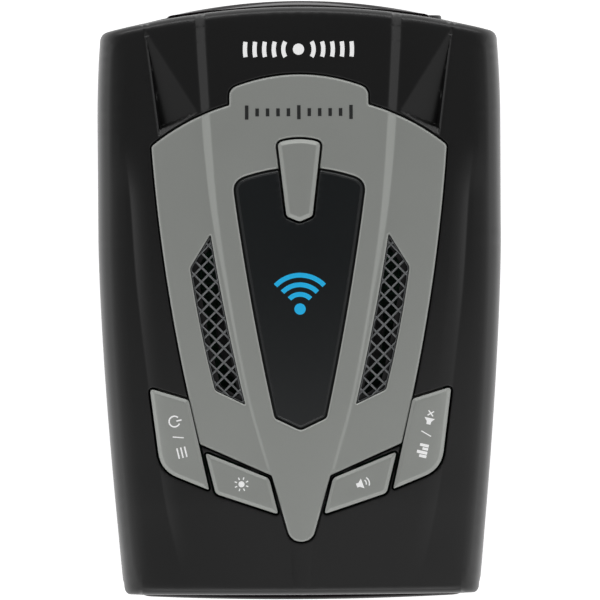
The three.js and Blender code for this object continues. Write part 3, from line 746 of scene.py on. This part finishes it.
def board_material():
    material = moulded("solder_resist", (0.01, 0.09, 0.04), 0.35, 900, 0.05)
    nodes, links = material.node_tree.nodes, material.node_tree.links
    traces = nodes.new("ShaderNodeTexBrick")
    traces.inputs["Scale"].default_value = 240
    traces.inputs["Color1"].default_value = (0.01, 0.09, 0.04, 1)
    traces.inputs["Color2"].default_value = (0.015, 0.11, 0.05, 1)
    traces.inputs["Mortar"].default_value = (0.03, 0.2, 0.09, 1)
    traces.inputs["Mortar Size"].default_value = 0.03
    coordinates = next(n for n in nodes if n.type == "TEX_COORD")
    links.new(coordinates.outputs["Object"], traces.inputs["Vector"])
    links.new(traces.outputs["Color"], nodes["Principled BSDF"].inputs["Base Color"])
    return material


MATERIALS = {
    "case_top": moulded("satin_black_plastic", (0.0042, 0.0042, 0.0043), 0.33, 3200, 0.10),
    "case_bottom": moulded("textured_black_plastic", (0.0125, 0.0125, 0.013), 0.5, 1500, 0.35, spread=0.08),
    "grey_paint": moulded("grey_metallic_paint", (0.352, 0.364, 0.345), 0.42, 5200, 0.05, 0.4, 0.08),
    "gloss_black": moulded("semi_gloss_black", (0.008, 0.0095, 0.0103), 0.24, 2200, 0.03),
    "smoked_window": moulded(
        "smoked_plastic", (0.009, 0.006, 0.007), 0.07, 300, 0.01, spread=0.02, Coat_Weight=0.6
    ),
    "steel": moulded("satin_steel", (0.42, 0.43, 0.44), 0.38, 1400, 0.05, 1.0, 0.08),
    "white_plastic": moulded("natural_acetal", (0.62, 0.62, 0.58), 0.45, 1200, 0.05),
    "tinned": moulded("tin_plate", (0.5, 0.5, 0.48), 0.35, 700, 0.05, 1.0, 0.1),
    "cast_zinc": moulded("cast_zinc", (0.33, 0.34, 0.35), 0.5, 800, 0.3, 1.0, 0.15),
    "board": board_material(),
    "ferrite": moulded("dark_moulded_body", (0.03, 0.03, 0.033), 0.6, 1500, 0.15),
    "clear_plastic": moulded(
        "clear_plastic",
        (0.8, 0.85, 0.87),
        0.06,
        300,
        0.01,
        variation=0.02,
        spread=0.02,
        Transmission_Weight=0.8,
    ),
    "display_glass": moulded("display_glass", (0.012, 0.02, 0.022), 0.08, 300, 0.01, spread=0.02),
    "foam": moulded("foam", (0.02, 0.02, 0.02), 0.95, 700, 0.8),
    "film": moulded("polyimide_film", (0.4, 0.2, 0.03), 0.3, 500, 0.05),
    "cone_paper": moulded("pressed_paper", (0.035, 0.032, 0.03), 0.85, 900, 0.5),
    "label": moulded("label_stock", (0.42, 0.42, 0.41), 0.45, 1800, 0.05),
}
MESH_STEEL = moulded("painted_steel_mesh", (0.17, 0.175, 0.18), 0.42, 1400, 0.05, 0.7, 0.1)
# White print that also glows a little: its emission is painted light, so it looks brighter than the lamps alone
# make it.
GLOWING_WHITE_PRINT = moulded(
    "glowing_white_print",
    (0.93, 0.93, 0.93),
    0.45,
    1800,
    0.03,
    variation=0.03,
    Emission_Strength=0.12,
    Emission_Color=(1, 1, 1, 1),
)
DARK_PRINT = moulded("dark_print", (0.012, 0.013, 0.013), 0.45, 1800, 0.03)
BLUE_PRINT = moulded("blue_print", (0.012, 0.52, 0.95), 0.4, 1800, 0.03, variation=0.04)


# ---------------------------------------------------------------- pieces
def along(pairs, y0, y1, shift, spacing):
    """Points on both sides along a line whose distance from the middle is given by pairs."""
    y = np.arange(y0, y1, spacing)
    x = through(pairs, y) + shift
    return np.vstack([np.stack([x, y], axis=1), np.stack([-x, y], axis=1)])


def along_line(start, end, spacing, shift):
    direction = (end - start) / np.hypot(*(end - start))
    normal = np.array([-direction[1], direction[0]]) * shift
    steps = max(2, int(np.hypot(*(end - start)) / spacing))
    line = start + normal + (end - start) * np.linspace(0, 1, steps + 1)[:, None]
    return np.vstack([line, line * [-1, 1]])


def cover_lines(y0, y1, spacing=0.7):
    outer = [(p, float(through(RIDGE_X, p)) + float(through(RIDGE_WIDTH, p))) for p in range(-56, 57, 7)]
    lines = [along(RIDGE_X, y0, y1, shift, spacing) for shift in (-0.3, -0.1, 0.05, 0.2)]
    lines += [along(outer, y0, y1, shift, spacing) for shift in (-0.15, 0.0, 0.15, 0.45)]
    y = np.arange(y0, y1, spacing)
    return [*lines, np.stack([0 * y, y], axis=1)]


def side_lines():
    shifts = (-2.7, -1.8, -1, -0.4, 0.05, 0.27, 0.37, 0.6, 1.1)
    lines = [along(CREASE_X, -51, 30, shift, 0.8) for shift in shifts]
    for shift in (-0.1, 0.02, 0.2, 0.38, 0.42, 0.5, 0.62, 0.8):
        lines.append(along_line(SCOOP_OUTER, SCOOP_APEX, 0.35, shift))
    for shift in (-0.3, 0.0, 0.3):
        lines.append(along_line(SCOOP_INNER, SCOOP_APEX, 0.6, shift))
    for shift in (0.1, -0.05, -0.3, -0.6, -0.85, -0.95, -1.1, -1.25, -1.4, -1.7):
        lines.append(along_line(SCOOP_REAR, SCOOP_INNER, 0.3, shift))
    x, y = np.meshgrid(np.arange(24.3, 26, 0.16), np.arange(27.8, 31.2, 0.2))
    corner = np.column_stack([x.ravel(), y.ravel()])
    lines += [corner, corner * [-1, 1]]
    return lines


def both_sides(loop):
    return [loop, flipped(loop)]


# Openings as (x0, x1, y0, y1, z0, z1), and the walls of the channel behind the bracket slot.
LENS_OPENING = (-22.3, 22.3, 40, 60, 15.2, 23.2)
BRACKET_SLOT = (-8, 8, 48, 60, 24.3, 27.3)
CHANNEL_FLOOR = (-9.5, 9.5, 28, 50.2, 23.5, 24.3)
CHANNEL_WALLS = ((-9.5, -8.3, 28, 50.2, 23.9, 28.8), (8.3, 9.5, 28, 50.2, 23.9, 28.8))
WINDOW_TOP = 18.8


def top_case():
    plan = case_plan(NOSE_Y, NOSE_BEND, 0)
    pocket = offset(PLATE, GAP)
    key_holes = [hole for key in (BIG_KEY, SMALL_KEY) for hole in both_sides(offset(key, 0.35))]
    grille_holes = both_sides(GRILLE_HOLE)
    release_hole = offset(RELEASE, 0.45)
    edges = [pocket, *key_holes]

    def outside(xy):
        z = case_top(xy[:, 0], xy[:, 1])
        for edge in edges:
            z = z - rounded(distance_to(xy, edge, 0.3), 0.25, 0.25)
        return z

    def pocket_floor(xy):
        return cover(xy[:, 0], xy[:, 1]) - POCKET_DEPTH

    def rim(xy):
        return np.full(len(xy), PARTING_Z + GAP / 2) + 0.3 - distance_to(xy, plan, 0.3)

    def ceiling(xy):
        return np.maximum(case_top(xy[:, 0] * 1.02, xy[:, 1]) - SKIN, PARTING_Z + 1)

    def window_top(xy):
        return np.full(len(xy), WINDOW_TOP)

    inner = case_plan(NOSE_Y, NOSE_BEND, WALL)
    window = rectangle(-28.6, 28.6, -53.5, -49)
    solid = relief(
        plan,
        [*key_holes, *grille_holes, release_hole],
        [(None, outside), (pocket, pocket_floor)],
        [(None, rim), (inner, ceiling), (window, window_top)],
        [
            (0.02, 0.085, 0.19, 0.33, 0.5, 0.75, 1.05, 1.5, 2.1, 2.9, 3.9, 5),
            *[(0.08, 0.17, 0.28)] * 4,
            (),
            (),
            (),
            (0.08, 0.17, 0.28),
            (),
            (),
        ],
        [*cover_lines(-51, 51), *side_lines()],
    )
    made = make_object("top_shell", solid)
    carve(made, block(*LENS_OPENING))
    carve(made, block(*BRACKET_SLOT))
    for wall in (CHANNEL_FLOOR, *CHANNEL_WALLS):
        carve(made, block(*wall), "UNION")
    return place(made, MATERIALS["case_top"], "housing", "case_top", "top_case")


def bevel(distance, width, depth, softness=0.05):
    """How far a surface has fallen at a distance from an edge with a straight chamfer."""
    u = width - distance
    return depth * np.minimum((u + np.sqrt(u**2 + softness**2)) / 2, width) / width


def trim_plate():
    insert_hole = offset(INSERT, GAP)
    release_hole = offset(RELEASE, 0.42)
    slots = both_sides(SPEAKER_SLOT)
    edges = [PLATE, insert_hole, release_hole, *slots]

    def top(xy):
        z = cover(xy[:, 0], xy[:, 1]) + PLATE_PROUD
        for edge in edges:
            z = z - bevel(distance_to(xy, edge, 0.5), 0.26, 0.22, 0.03)
        return z

    def bottom(xy):
        return cover(xy[:, 0], xy[:, 1]) - PLATE_DEPTH

    rings = [(0.12, 0.24, 0.3, 0.6)]
    solid = relief(PLATE, edges[1:], [(None, top)], [(None, bottom)], rings, cover_lines(-44, 38))
    made = make_object("trim_panel", solid)
    return place(made, MATERIALS["grey_paint"], "housing", "grey_paint", "trim_plate")


INSERT_SUNK = 0.05


def centre_insert():
    release_hole = offset(RELEASE, 0.42)

    def top(xy):
        z = cover(xy[:, 0], xy[:, 1]) - INSERT_SUNK
        rim = distance_to(xy, INSERT, 1)
        z = z - bevel(rim, 0.3, 0.25, 0.03) - 0.06 * np.clip(1 - np.abs(rim - 0.5) / 0.08, 0, 1)
        return z - bevel(distance_to(xy, release_hole, 0.4), 0.2, 0.15, 0.03)

    def bottom(xy):
        return cover(xy[:, 0], xy[:, 1]) - PLATE_DEPTH

    rings = [(0.14, 0.28, 0.36, 0.42, 0.5, 0.58, 0.7), (0.1, 0.25)]
    solid = relief(INSERT, [release_hole], [(None, top)], [(None, bottom)], rings)
    made = make_object("centre_panel", solid)
    return place(made, MATERIALS["gloss_black"], "housing", "gloss_black", "centre_insert")


CELL_PITCH = 1.84
CELL_HOLE = 1.5
LATTICE_CENTRE = (14.9, -3.2)


def speaker_mesh(side):
    """A sheet of square cells standing on their corners, with bars that are rounded on top."""
    edge = offset(SPEAKER_SLOT, -0.12)
    rim = offset(SPEAKER_SLOT, -0.3)
    half = CELL_HOLE / math.sqrt(2)
    step = CELL_PITCH / math.sqrt(2)
    cells, lines = [], []
    for i in range(-9, 10):
        for j in range(-9, 10):
            x = LATTICE_CENTRE[0] + (i - j) * CELL_PITCH / math.sqrt(2)
            y = LATTICE_CENTRE[1] + (i + j) * CELL_PITCH / math.sqrt(2)
            cell = np.array([[x, y + half], [x + half, y], [x, y - half], [x - half, y]])
            if np.any(inside(cell, edge)):
                cells.append(cell)
                ring = np.array([[x, y + step], [x + step, y], [x, y - step], [x - step, y]])
                for k in range(4):
                    lines.append(ring[k] + (ring[(k + 1) % 4] - ring[k]) * np.linspace(0, 1, 5)[:, None])
    marks = np.unique(np.round(np.vstack(lines), 4), axis=0)

    def from_bars(xy):
        u = ((xy[:, 0] - LATTICE_CENTRE[0]) + (xy[:, 1] - LATTICE_CENTRE[1])) / math.sqrt(2) / CELL_PITCH
        v = ((xy[:, 1] - LATTICE_CENTRE[1]) - (xy[:, 0] - LATTICE_CENTRE[0])) / math.sqrt(2) / CELL_PITCH
        to_line = [np.abs(w - np.floor(w) - 0.5) * CELL_PITCH for w in (u, v)]
        return np.minimum(*to_line)

    def kept(centre):
        hole = (from_bars(centre) > (CELL_PITCH - CELL_HOLE) / 2) & inside(centre, rim)
        return ~hole

    def top(xy):
        across = from_bars(xy) / ((CELL_PITCH - CELL_HOLE) / 2)
        return cover(xy[:, 0], xy[:, 1]) - 0.45 - 0.12 * np.minimum(across, 1) ** 2

    def bottom(xy):
        return cover(xy[:, 0], xy[:, 1]) - PLATE_DEPTH

    solid = relief(edge, [], [(None, top)], [(None, bottom)], [()], [marks], 3, [rim, *cells], kept)
    if side < 0:
        vertices, faces = solid
        solid = [(-x, y, z) for x, y, z in vertices], [face[::-1] for face in faces]
    name = "right" if side > 0 else "left"
    made = make_object(f"speaker_lattice_{name}", solid)
    return place(made, MESH_STEEL, "housing", "steel", f"speaker_mesh_{name}")


KEY_BEVEL = 0.6
KEY_BEVEL_DEPTH = 0.36
KEYS = [
    ("power_menu", flipped(BIG_KEY), -21.3, -24.5),
    ("dim", flipped(SMALL_KEY), -10.6, -33),
    ("volume", SMALL_KEY, 10.6, -33),
    ("city_mute", BIG_KEY, 21.3, -24.5),
]


def push_button(plan, width, depth, dish, under, rings):
    def top(xy):
        edge = distance_to(xy, plan, 3)
        z = cover(xy[:, 0], xy[:, 1]) + KEY_PROUD - bevel(edge, width, depth)
        return z - dish * np.clip((edge - width) / 2, 0, 1) ** 2

    def bottom(xy):
        return cover(xy[:, 0], xy[:, 1]) - under

    return relief(plan, [], [(None, top)], [(None, bottom)], [rings], spacing=0.9)


def keys():
    rings = (0.04, 0.14, 0.3, 0.5, 0.57, 0.63, 0.75, 1.1)
    for name, plan, x, y in KEYS:
        made = make_object(f"{name}_cap", push_button(plan, KEY_BEVEL, KEY_BEVEL_DEPTH, 0.05, 2.2, rings))
        height = float(cover(np.array([float(x)]), np.array([float(y)]))[0])
        carve(made, block(x - 1.8, x + 1.8, y - 1.8, y + 1.8, 20.3, height - 1.5), "UNION")
        place(made, MATERIALS["grey_paint"], f"{name}_key", "grey_paint", f"{name}_key")


def release_button():
    rings = (0.04, 0.12, 0.35, 0.58, 0.66, 0.74, 0.85, 1.2)
    made = make_object("release_cap", push_button(RELEASE, 0.7, 0.45, 0.08, 2.4, rings))
    carve(made, block(-1.6, 1.6, 17, 25, 22.7, 29.5), "UNION")
    place(made, MATERIALS["grey_paint"], "release_button", "grey_paint", "release_button")


def bowed_plate(half, high, low, z0, z1, edge=(0.2, 0.2), sides=(1, 1), flat=1.0):
    """An upright plate between two bows in plan, each (y, bend) for y - bend * x * x.

    Its upper and lower edges are rounded on the high side, the low side or both: edge is how far in plan and
    how far in height, and flat is the power of the sine and cosine that the rounding follows.
    """
    (high_y, high_bend), (low_y, low_bend) = high, low
    reach, drop = edge
    turns = np.linspace(0, math.pi / 2, 9)
    rows = [(reach * (1 - math.sin(t) ** flat), z0 + drop * (1 - max(math.cos(t), 0) ** flat)) for t in turns]
    rows += [(inset, z0 + z1 - z) for inset, z in reversed(rows)]
    rings = []
    for inset, z in rows:
        x = np.linspace(-half + 0.2 * inset, half - 0.2 * inset, 81)
        thick = high_y - low_y - (high_bend - low_bend) * x**2
        taper = 0.2 * np.clip((np.abs(x) - half + 1.2) / 1.2, 0, 1) ** 2
        inwards = taper + inset * (thick - 0.35) / (high_y - low_y)
        top = np.column_stack([x, high_y - sides[0] * inwards - high_bend * x**2])
        bottom = np.column_stack([x, low_y + sides[1] * inwards - low_bend * x**2])
        ring = np.vstack([top, bottom[::-1]])[::-1]
        rings.append(level(ring, z))
    return loft(rings)


LENS_FLANGE_HALF = 23.4
LENS_FACE = (53.35, 0.0048)  # (y, bend)
LENS_EDGE = (1.5, 0.5)
LENS_PLUG_HALF = 22
WINDOW_HALF = 28.3
WINDOW_BEND = -0.0009


def front_lens():
    seat = (NOSE_Y + GAP, NOSE_BEND)
    flange = bowed_plate(LENS_FLANGE_HALF, LENS_FACE, seat, 14.6, 23.8, LENS_EDGE, (1, 0), 1.7)
    made = make_object("nose_lens", flange)
    plug = bowed_plate(LENS_PLUG_HALF, (NOSE_Y + GAP + 0.2, NOSE_BEND), (50, NOSE_BEND), 15.5, 22.9)
    carve(made, plug, "UNION")
    place(made, MATERIALS["smoked_window"], "housing", "smoked_window", "front_lens")


def display_window():
    high, low = (-51.6, WINDOW_BEND), (-53.6, WINDOW_BEND)
    solid = bowed_plate(WINDOW_HALF, high, low, 4.5, 18.5, (0.5, 0.4), (0, 1))
    made = make_object("rear_window", solid)
    place(made, MATERIALS["smoked_window"], "housing", "smoked_window", "display_window")


def posts(places, *profile):
    """Round posts at several places; profile is (radius, z) from the bottom up."""
    parts = []
    for x, y in places:
        parts.append(loft([level(circle(r, x, y, 40)[::-1], z) for r, z in profile]))
    return merged(parts)


CASE_SCREWS = [(-29, 30), (29, 30), (-27, -43), (27, -43)]
BOARD_SCREWS = [(-23.5, 11), (23.5, 11)]
HORN_SCREWS = [(-15.5, 38.5), (15.5, 38.5)]
JACK_X = 23.5
JACK_Z = 7.3
JACK_BOSS = [(3.4, 46.5), (3.4, 50.4), (3.3, 50.85), (3.05, 51.15), (2.75, 51.25)]


def bottom_case():
    """Known fault: the rings of the shell have from 346 to 352 points, so it isn't manifold, and none of the cuts
    and joins below change it. It stays one solid block."""
    top = PARTING_Z - GAP / 2
    rows = [(1.8, 0), (1.45, 0.06), (1.1, 0.25), (0.75, 0.55), (0.42, 1.0), (0.15, 1.6), (0, 2.4)]
    rows += [(0, 8), (0, top - 0.3), (0.1, top - 0.1), (0.3, top)]
    rings = [level(case_plan(LIP_Y, LIP_BEND, inset)[::-1], z) for inset, z in rows]
    made = make_object("bottom_shell", loft(rings))
    hollow = case_plan(LIP_Y, LIP_BEND, WALL)[::-1]
    carve(made, loft([level(hollow, z) for z in (2, 20)]))
    under = PARTING_Z - GAP
    carve(made, posts(CASE_SCREWS, (3.9, 1.5), (3.6, 3), (3.5, top)), "UNION")
    carve(made, posts([*BOARD_SCREWS, (-18, -42), (18, -42)], (2.9, 1.5), (2.5, 3), (2.4, under)), "UNION")
    carve(made, posts(HORN_SCREWS, (2.7, 1.5), (2.3, 3), (2.3, 4.7)), "UNION")
    board_stand = block(-22.5, -18.5, 38, 42, 1.5, 11.7)
    jack_stand = block(JACK_X - 2.5, JACK_X + 2.5, 38, 45, 1.5, 3)
    carve(made, merged([board_stand, jack_stand]), "UNION")
    carve(made, posts(CASE_SCREWS, (3.1, -1), (3.1, 0), (2.7, 0.4), (2.7, 5.1)))
    carve(made, posts(CASE_SCREWS, (1.5, 5), (1.5, 20)))
    carve(made, posts(BOARD_SCREWS, (1.3, 8.5), (1.3, 20)))
    carve(made, posts(HORN_SCREWS, (1.3, 2.6), (1.3, 20)))
    carve(made, block(-28.6, 28.6, -60, -49, 4.2, 20))
    carve(made, turned_along_y(JACK_BOSS, JACK_X, JACK_Z), "UNION")
    carve(made, rod_along_y(2.6, JACK_X, JACK_Z, 46, 60))
    pocket = rectangle(-16, 16, -12, 12, 1.2, 0.5)[::-1]
    carve(made, loft([level(pocket, z) for z in (-1.0, 0.8)]))
    place(made, MATERIALS["case_bottom"], "housing", "case_bottom", "bottom_case")


def rating_label():
    """The label and its unreadable bars and squares. Both lie inside bottom_shell, as its pocket isn't cut."""
    plan = rectangle(-15.7, 15.7, -11.7, 11.7, 1.2, 0.5)
    rings = [level(offset(plan, -inset)[::-1], z) for inset, z in ((0.06, 0.1), (0, 0.16), (0, 0.5))]
    made = make_object("rating_sticker", loft(rings))
    place(made, MATERIALS["label"], "housing", "label", "rating_label")
    rows = ((8.5, 4), (6.6, -2), (-6.5, 1), (-8.2, 4), (-9.9, -4))
    bars = [block(-13.5, x1, y, y + 0.7, 0.08, 0.12) for y, x1 in rows]
    bars += [block(-13.5, 13.5, y, y + 0.15, 0.08, 0.12) for y in (5.2, -4.6)]
    for i in range(9):
        for j in range(9):
            if (i * 7 + j * 5 + i * j * 3) % 4 < 2:
                x0, x1 = 6.5 + i * 0.75, 7.15 + i * 0.75
                y0, y1 = -3.9 + j * 0.75, -3.25 + j * 0.75
                bars.append(block(x0, x1, y0, y1, 0.08, 0.12))
    place_print("rating_print", merged(bars), DARK_PRINT, "housing")


SCREW_HEAD = [(1.7, 3.2), (2.1, 3.27), (2.35, 3.5), (2.4, 3.8), (2.4, 4.8)]  # (radius, z)
SCREW_SHANK = [(1.2, 4.81), (1.2, 17), (0.8, 17.5)]


def case_screws():
    for number, (x, y) in enumerate(CASE_SCREWS):
        turned_screw = posts([(x, y)], *SCREW_HEAD, *SCREW_SHANK)
        made = make_object(f"case_screw_{number + 1}_turned", turned_screw)
        carve(made, block(x - 1.1, x + 1.1, y - 0.25, y + 0.25, 2.8, 3.9))
        carve(made, block(x - 0.25, x + 0.25, y - 1.1, y + 1.1, 2.8, 3.9))
        place(made, MATERIALS["steel"], "housing", "steel", f"case_screw_{number + 1}")


def dc_jack():
    made = make_object("power_jack", block(JACK_X - 4, JACK_X + 4, 37, 46.7, 3.3, 11.3))
    carve(made, turned_along_y([(2.3, 46), (2.3, 51), (2.1, 51.2)], JACK_X, JACK_Z), "UNION")
    carve(made, rod_along_y(1.8, JACK_X, JACK_Z, 39, 52))
    place(made, MATERIALS["case_top"], "housing", "case_top", "dc_jack")
    pin = make_object("power_jack_pin", rod_along_y(0.55, JACK_X, JACK_Z, 38.5, 49.5, 24))
    place(pin, MATERIALS["steel"], "housing", "steel")


# ---------------------------------------------------------------- printed marks
def place_print(name, solid, material, body):
    return place(make_object(name, solid), material, body, None)


PRINT_HALF_THICKNESS = 0.03


def print_on(shapes, height):
    """Flat shapes laid on a surface."""
    parts = []
    for shape in shapes:
        tops = [(None, lambda xy: height(xy) + PRINT_HALF_THICKNESS)]
        bottoms = [(None, lambda xy: height(xy) - PRINT_HALF_THICKNESS)]
        parts.append(relief(shape, [], tops, bottoms, [()]))
    return merged(parts)


def arc(x, y, radius, width, start, end, steps):
    """A clockwise band round (x, y), from start to end in degrees clockwise from +Y."""
    turn = np.radians(np.linspace(start, end, steps))
    outwards = np.column_stack([np.sin(turn), np.cos(turn)])
    outer = [x, y] + (radius + width / 2) * outwards
    inner = [x, y] + (radius - width / 2) * outwards
    return np.vstack([outer, inner[::-1]])


def bar(x0, y0, x1, y1, width):
    """A clockwise bar between two points."""
    direction = np.array([x1 - x0, y1 - y0]) / math.hypot(x1 - x0, y1 - y0)
    side = np.array([-direction[1], direction[0]]) * width / 2
    start, end = np.array([x0, y0]), np.array([x1, y1])
    return np.vstack([start + side, end + side, end - side, start - side])


def turned(shape, x, y, degrees):
    """A shape turned anticlockwise and moved to (x, y)."""
    turn = math.radians(degrees)
    matrix = np.array([[math.cos(turn), math.sin(turn)], [-math.sin(turn), math.cos(turn)]])
    return shape @ matrix + [x, y]


def nose_mark():
    def height(xy):
        return case_top(xy[:, 0], xy[:, 1])

    shapes = [circle(1.0, 0, 44.5)]
    for side in (-90, 90):
        for radius in (2.7, 4.4, 6.1, 7.8, 9.5):
            sweep = math.degrees(math.asin(1.35 / radius))
            shapes.append(arc(0, 44.5, radius, 0.75, side - sweep, side + sweep, 12))
    place_print("nose_print", print_on(shapes, height), GLOWING_WHITE_PRINT, "housing")


def plate_mark():
    def height(xy):
        return cover(xy[:, 0], xy[:, 1]) + PLATE_PROUD

    shapes = []
    for i in range(11):
        tall = 1.25 if i % 5 == 0 else 0.7
        x = (i - 5) * 1.85
        shapes.append(bar(x, 33.3 - tall, x, 33.3 + tall, 0.62))
    place_print("plate_print", print_on(shapes, height), DARK_PRINT, "housing")


def insert_mark():
    def height(xy):
        return cover(xy[:, 0], xy[:, 1]) - INSERT_SUNK

    middle = -1.6
    shapes = [circle(1.0, 0, middle)]
    for radius in (2.6, 4.3, 6.0):
        shapes.append(arc(0, middle, radius, 0.85, -46, 46, 30))
    place_print("insert_print", print_on(shapes, height), BLUE_PRINT, "housing")


def power_icon(x):
    return [arc(x, 0, 0.95, 0.26, 35, 325, 30), bar(x, 0.35, x, 1.3, 0.26)]


def menu_icon(x):
    return [bar(x - 0.95, y, x + 0.95, y, 0.26) for y in (-0.7, 0, 0.7)]


def dim_icon(x):
    rays = [turned(bar(0, 0.85, 0, 1.3, 0.22), x, 0, 45 * k) for k in range(8)]
    return [circle(0.55, x, 0, 20), *rays]


def speaker_icon(x):
    cone = np.array([[-1.1, 0.38], [-0.6, 0.38], [0.05, 0.95], [0.05, -0.95], [-0.6, -0.38], [-1.1, -0.38]])
    return cone + [x, 0]


def volume_icon(x):
    return [speaker_icon(x), *[arc(x, 0, r, 0.22, 52, 128, 10) for r in (0.7, 1.25)]]


def mute_icon(x):
    return [
        speaker_icon(x),
        bar(x + 0.45, -0.5, x + 1.35, 0.5, 0.22),
        bar(x + 0.45, 0.5, x + 0.84, 0.07, 0.22),
        bar(x + 0.96, -0.07, x + 1.35, -0.5, 0.22),
    ]


def city_icon(x):
    blocks = ((-1.15, 0.9, 0.5), (-0.5, 1.3, 0.55), (0.2, 0.7, 0.45), (0.8, 1.1, 0.5))
    return [bar(x + left, -0.95, x + left, -0.95 + tall * 1.45, wide) for left, tall, wide in blocks]


def slash(x):
    return [bar(x - 0.3, -0.95, x + 0.3, 0.95, 0.2)]


# (key, shapes, x, y, degrees turned)
MARKS = [
    ("power_menu", [*power_icon(-2.9), *slash(0), *menu_icon(2.8)], -21.8, -24.3, -77),
    ("dim", dim_icon(0), -10.6, -32.7, -20),
    ("volume", volume_icon(0), 10.9, -32.7, 20),
    ("city_mute", [*city_icon(-2.9), *slash(0), *mute_icon(2.8)], 22.3, -23.9, 77),
]


def key_marks():
    def height(xy):
        return cover(xy[:, 0], xy[:, 1]) + KEY_PROUD - 0.03

    for name, shapes, x, y, degrees in MARKS:
        placed = [turned(shape, x, y, degrees) for shape in shapes]
        place_print(f"{name}_print", print_on(placed, height), GLOWING_WHITE_PRINT, f"{name}_key")


make_camera()
make_floor()
make_lights()
for node in frame["record"]["subparts"]:
    cad = frame["nodes"][node["node"]]
    cad.data.materials.clear()
    cad.data.materials.append(MATERIALS[node["material_slot"]])
for make in (top_case, bottom_case, trim_plate, centre_insert, keys, release_button, front_lens, display_window):
    make()
for make in (dc_jack, case_screws, rating_label, nose_mark, plate_mark, insert_mark, key_marks):
    make()
for side in (-1, 1):
    speaker_mesh(side)
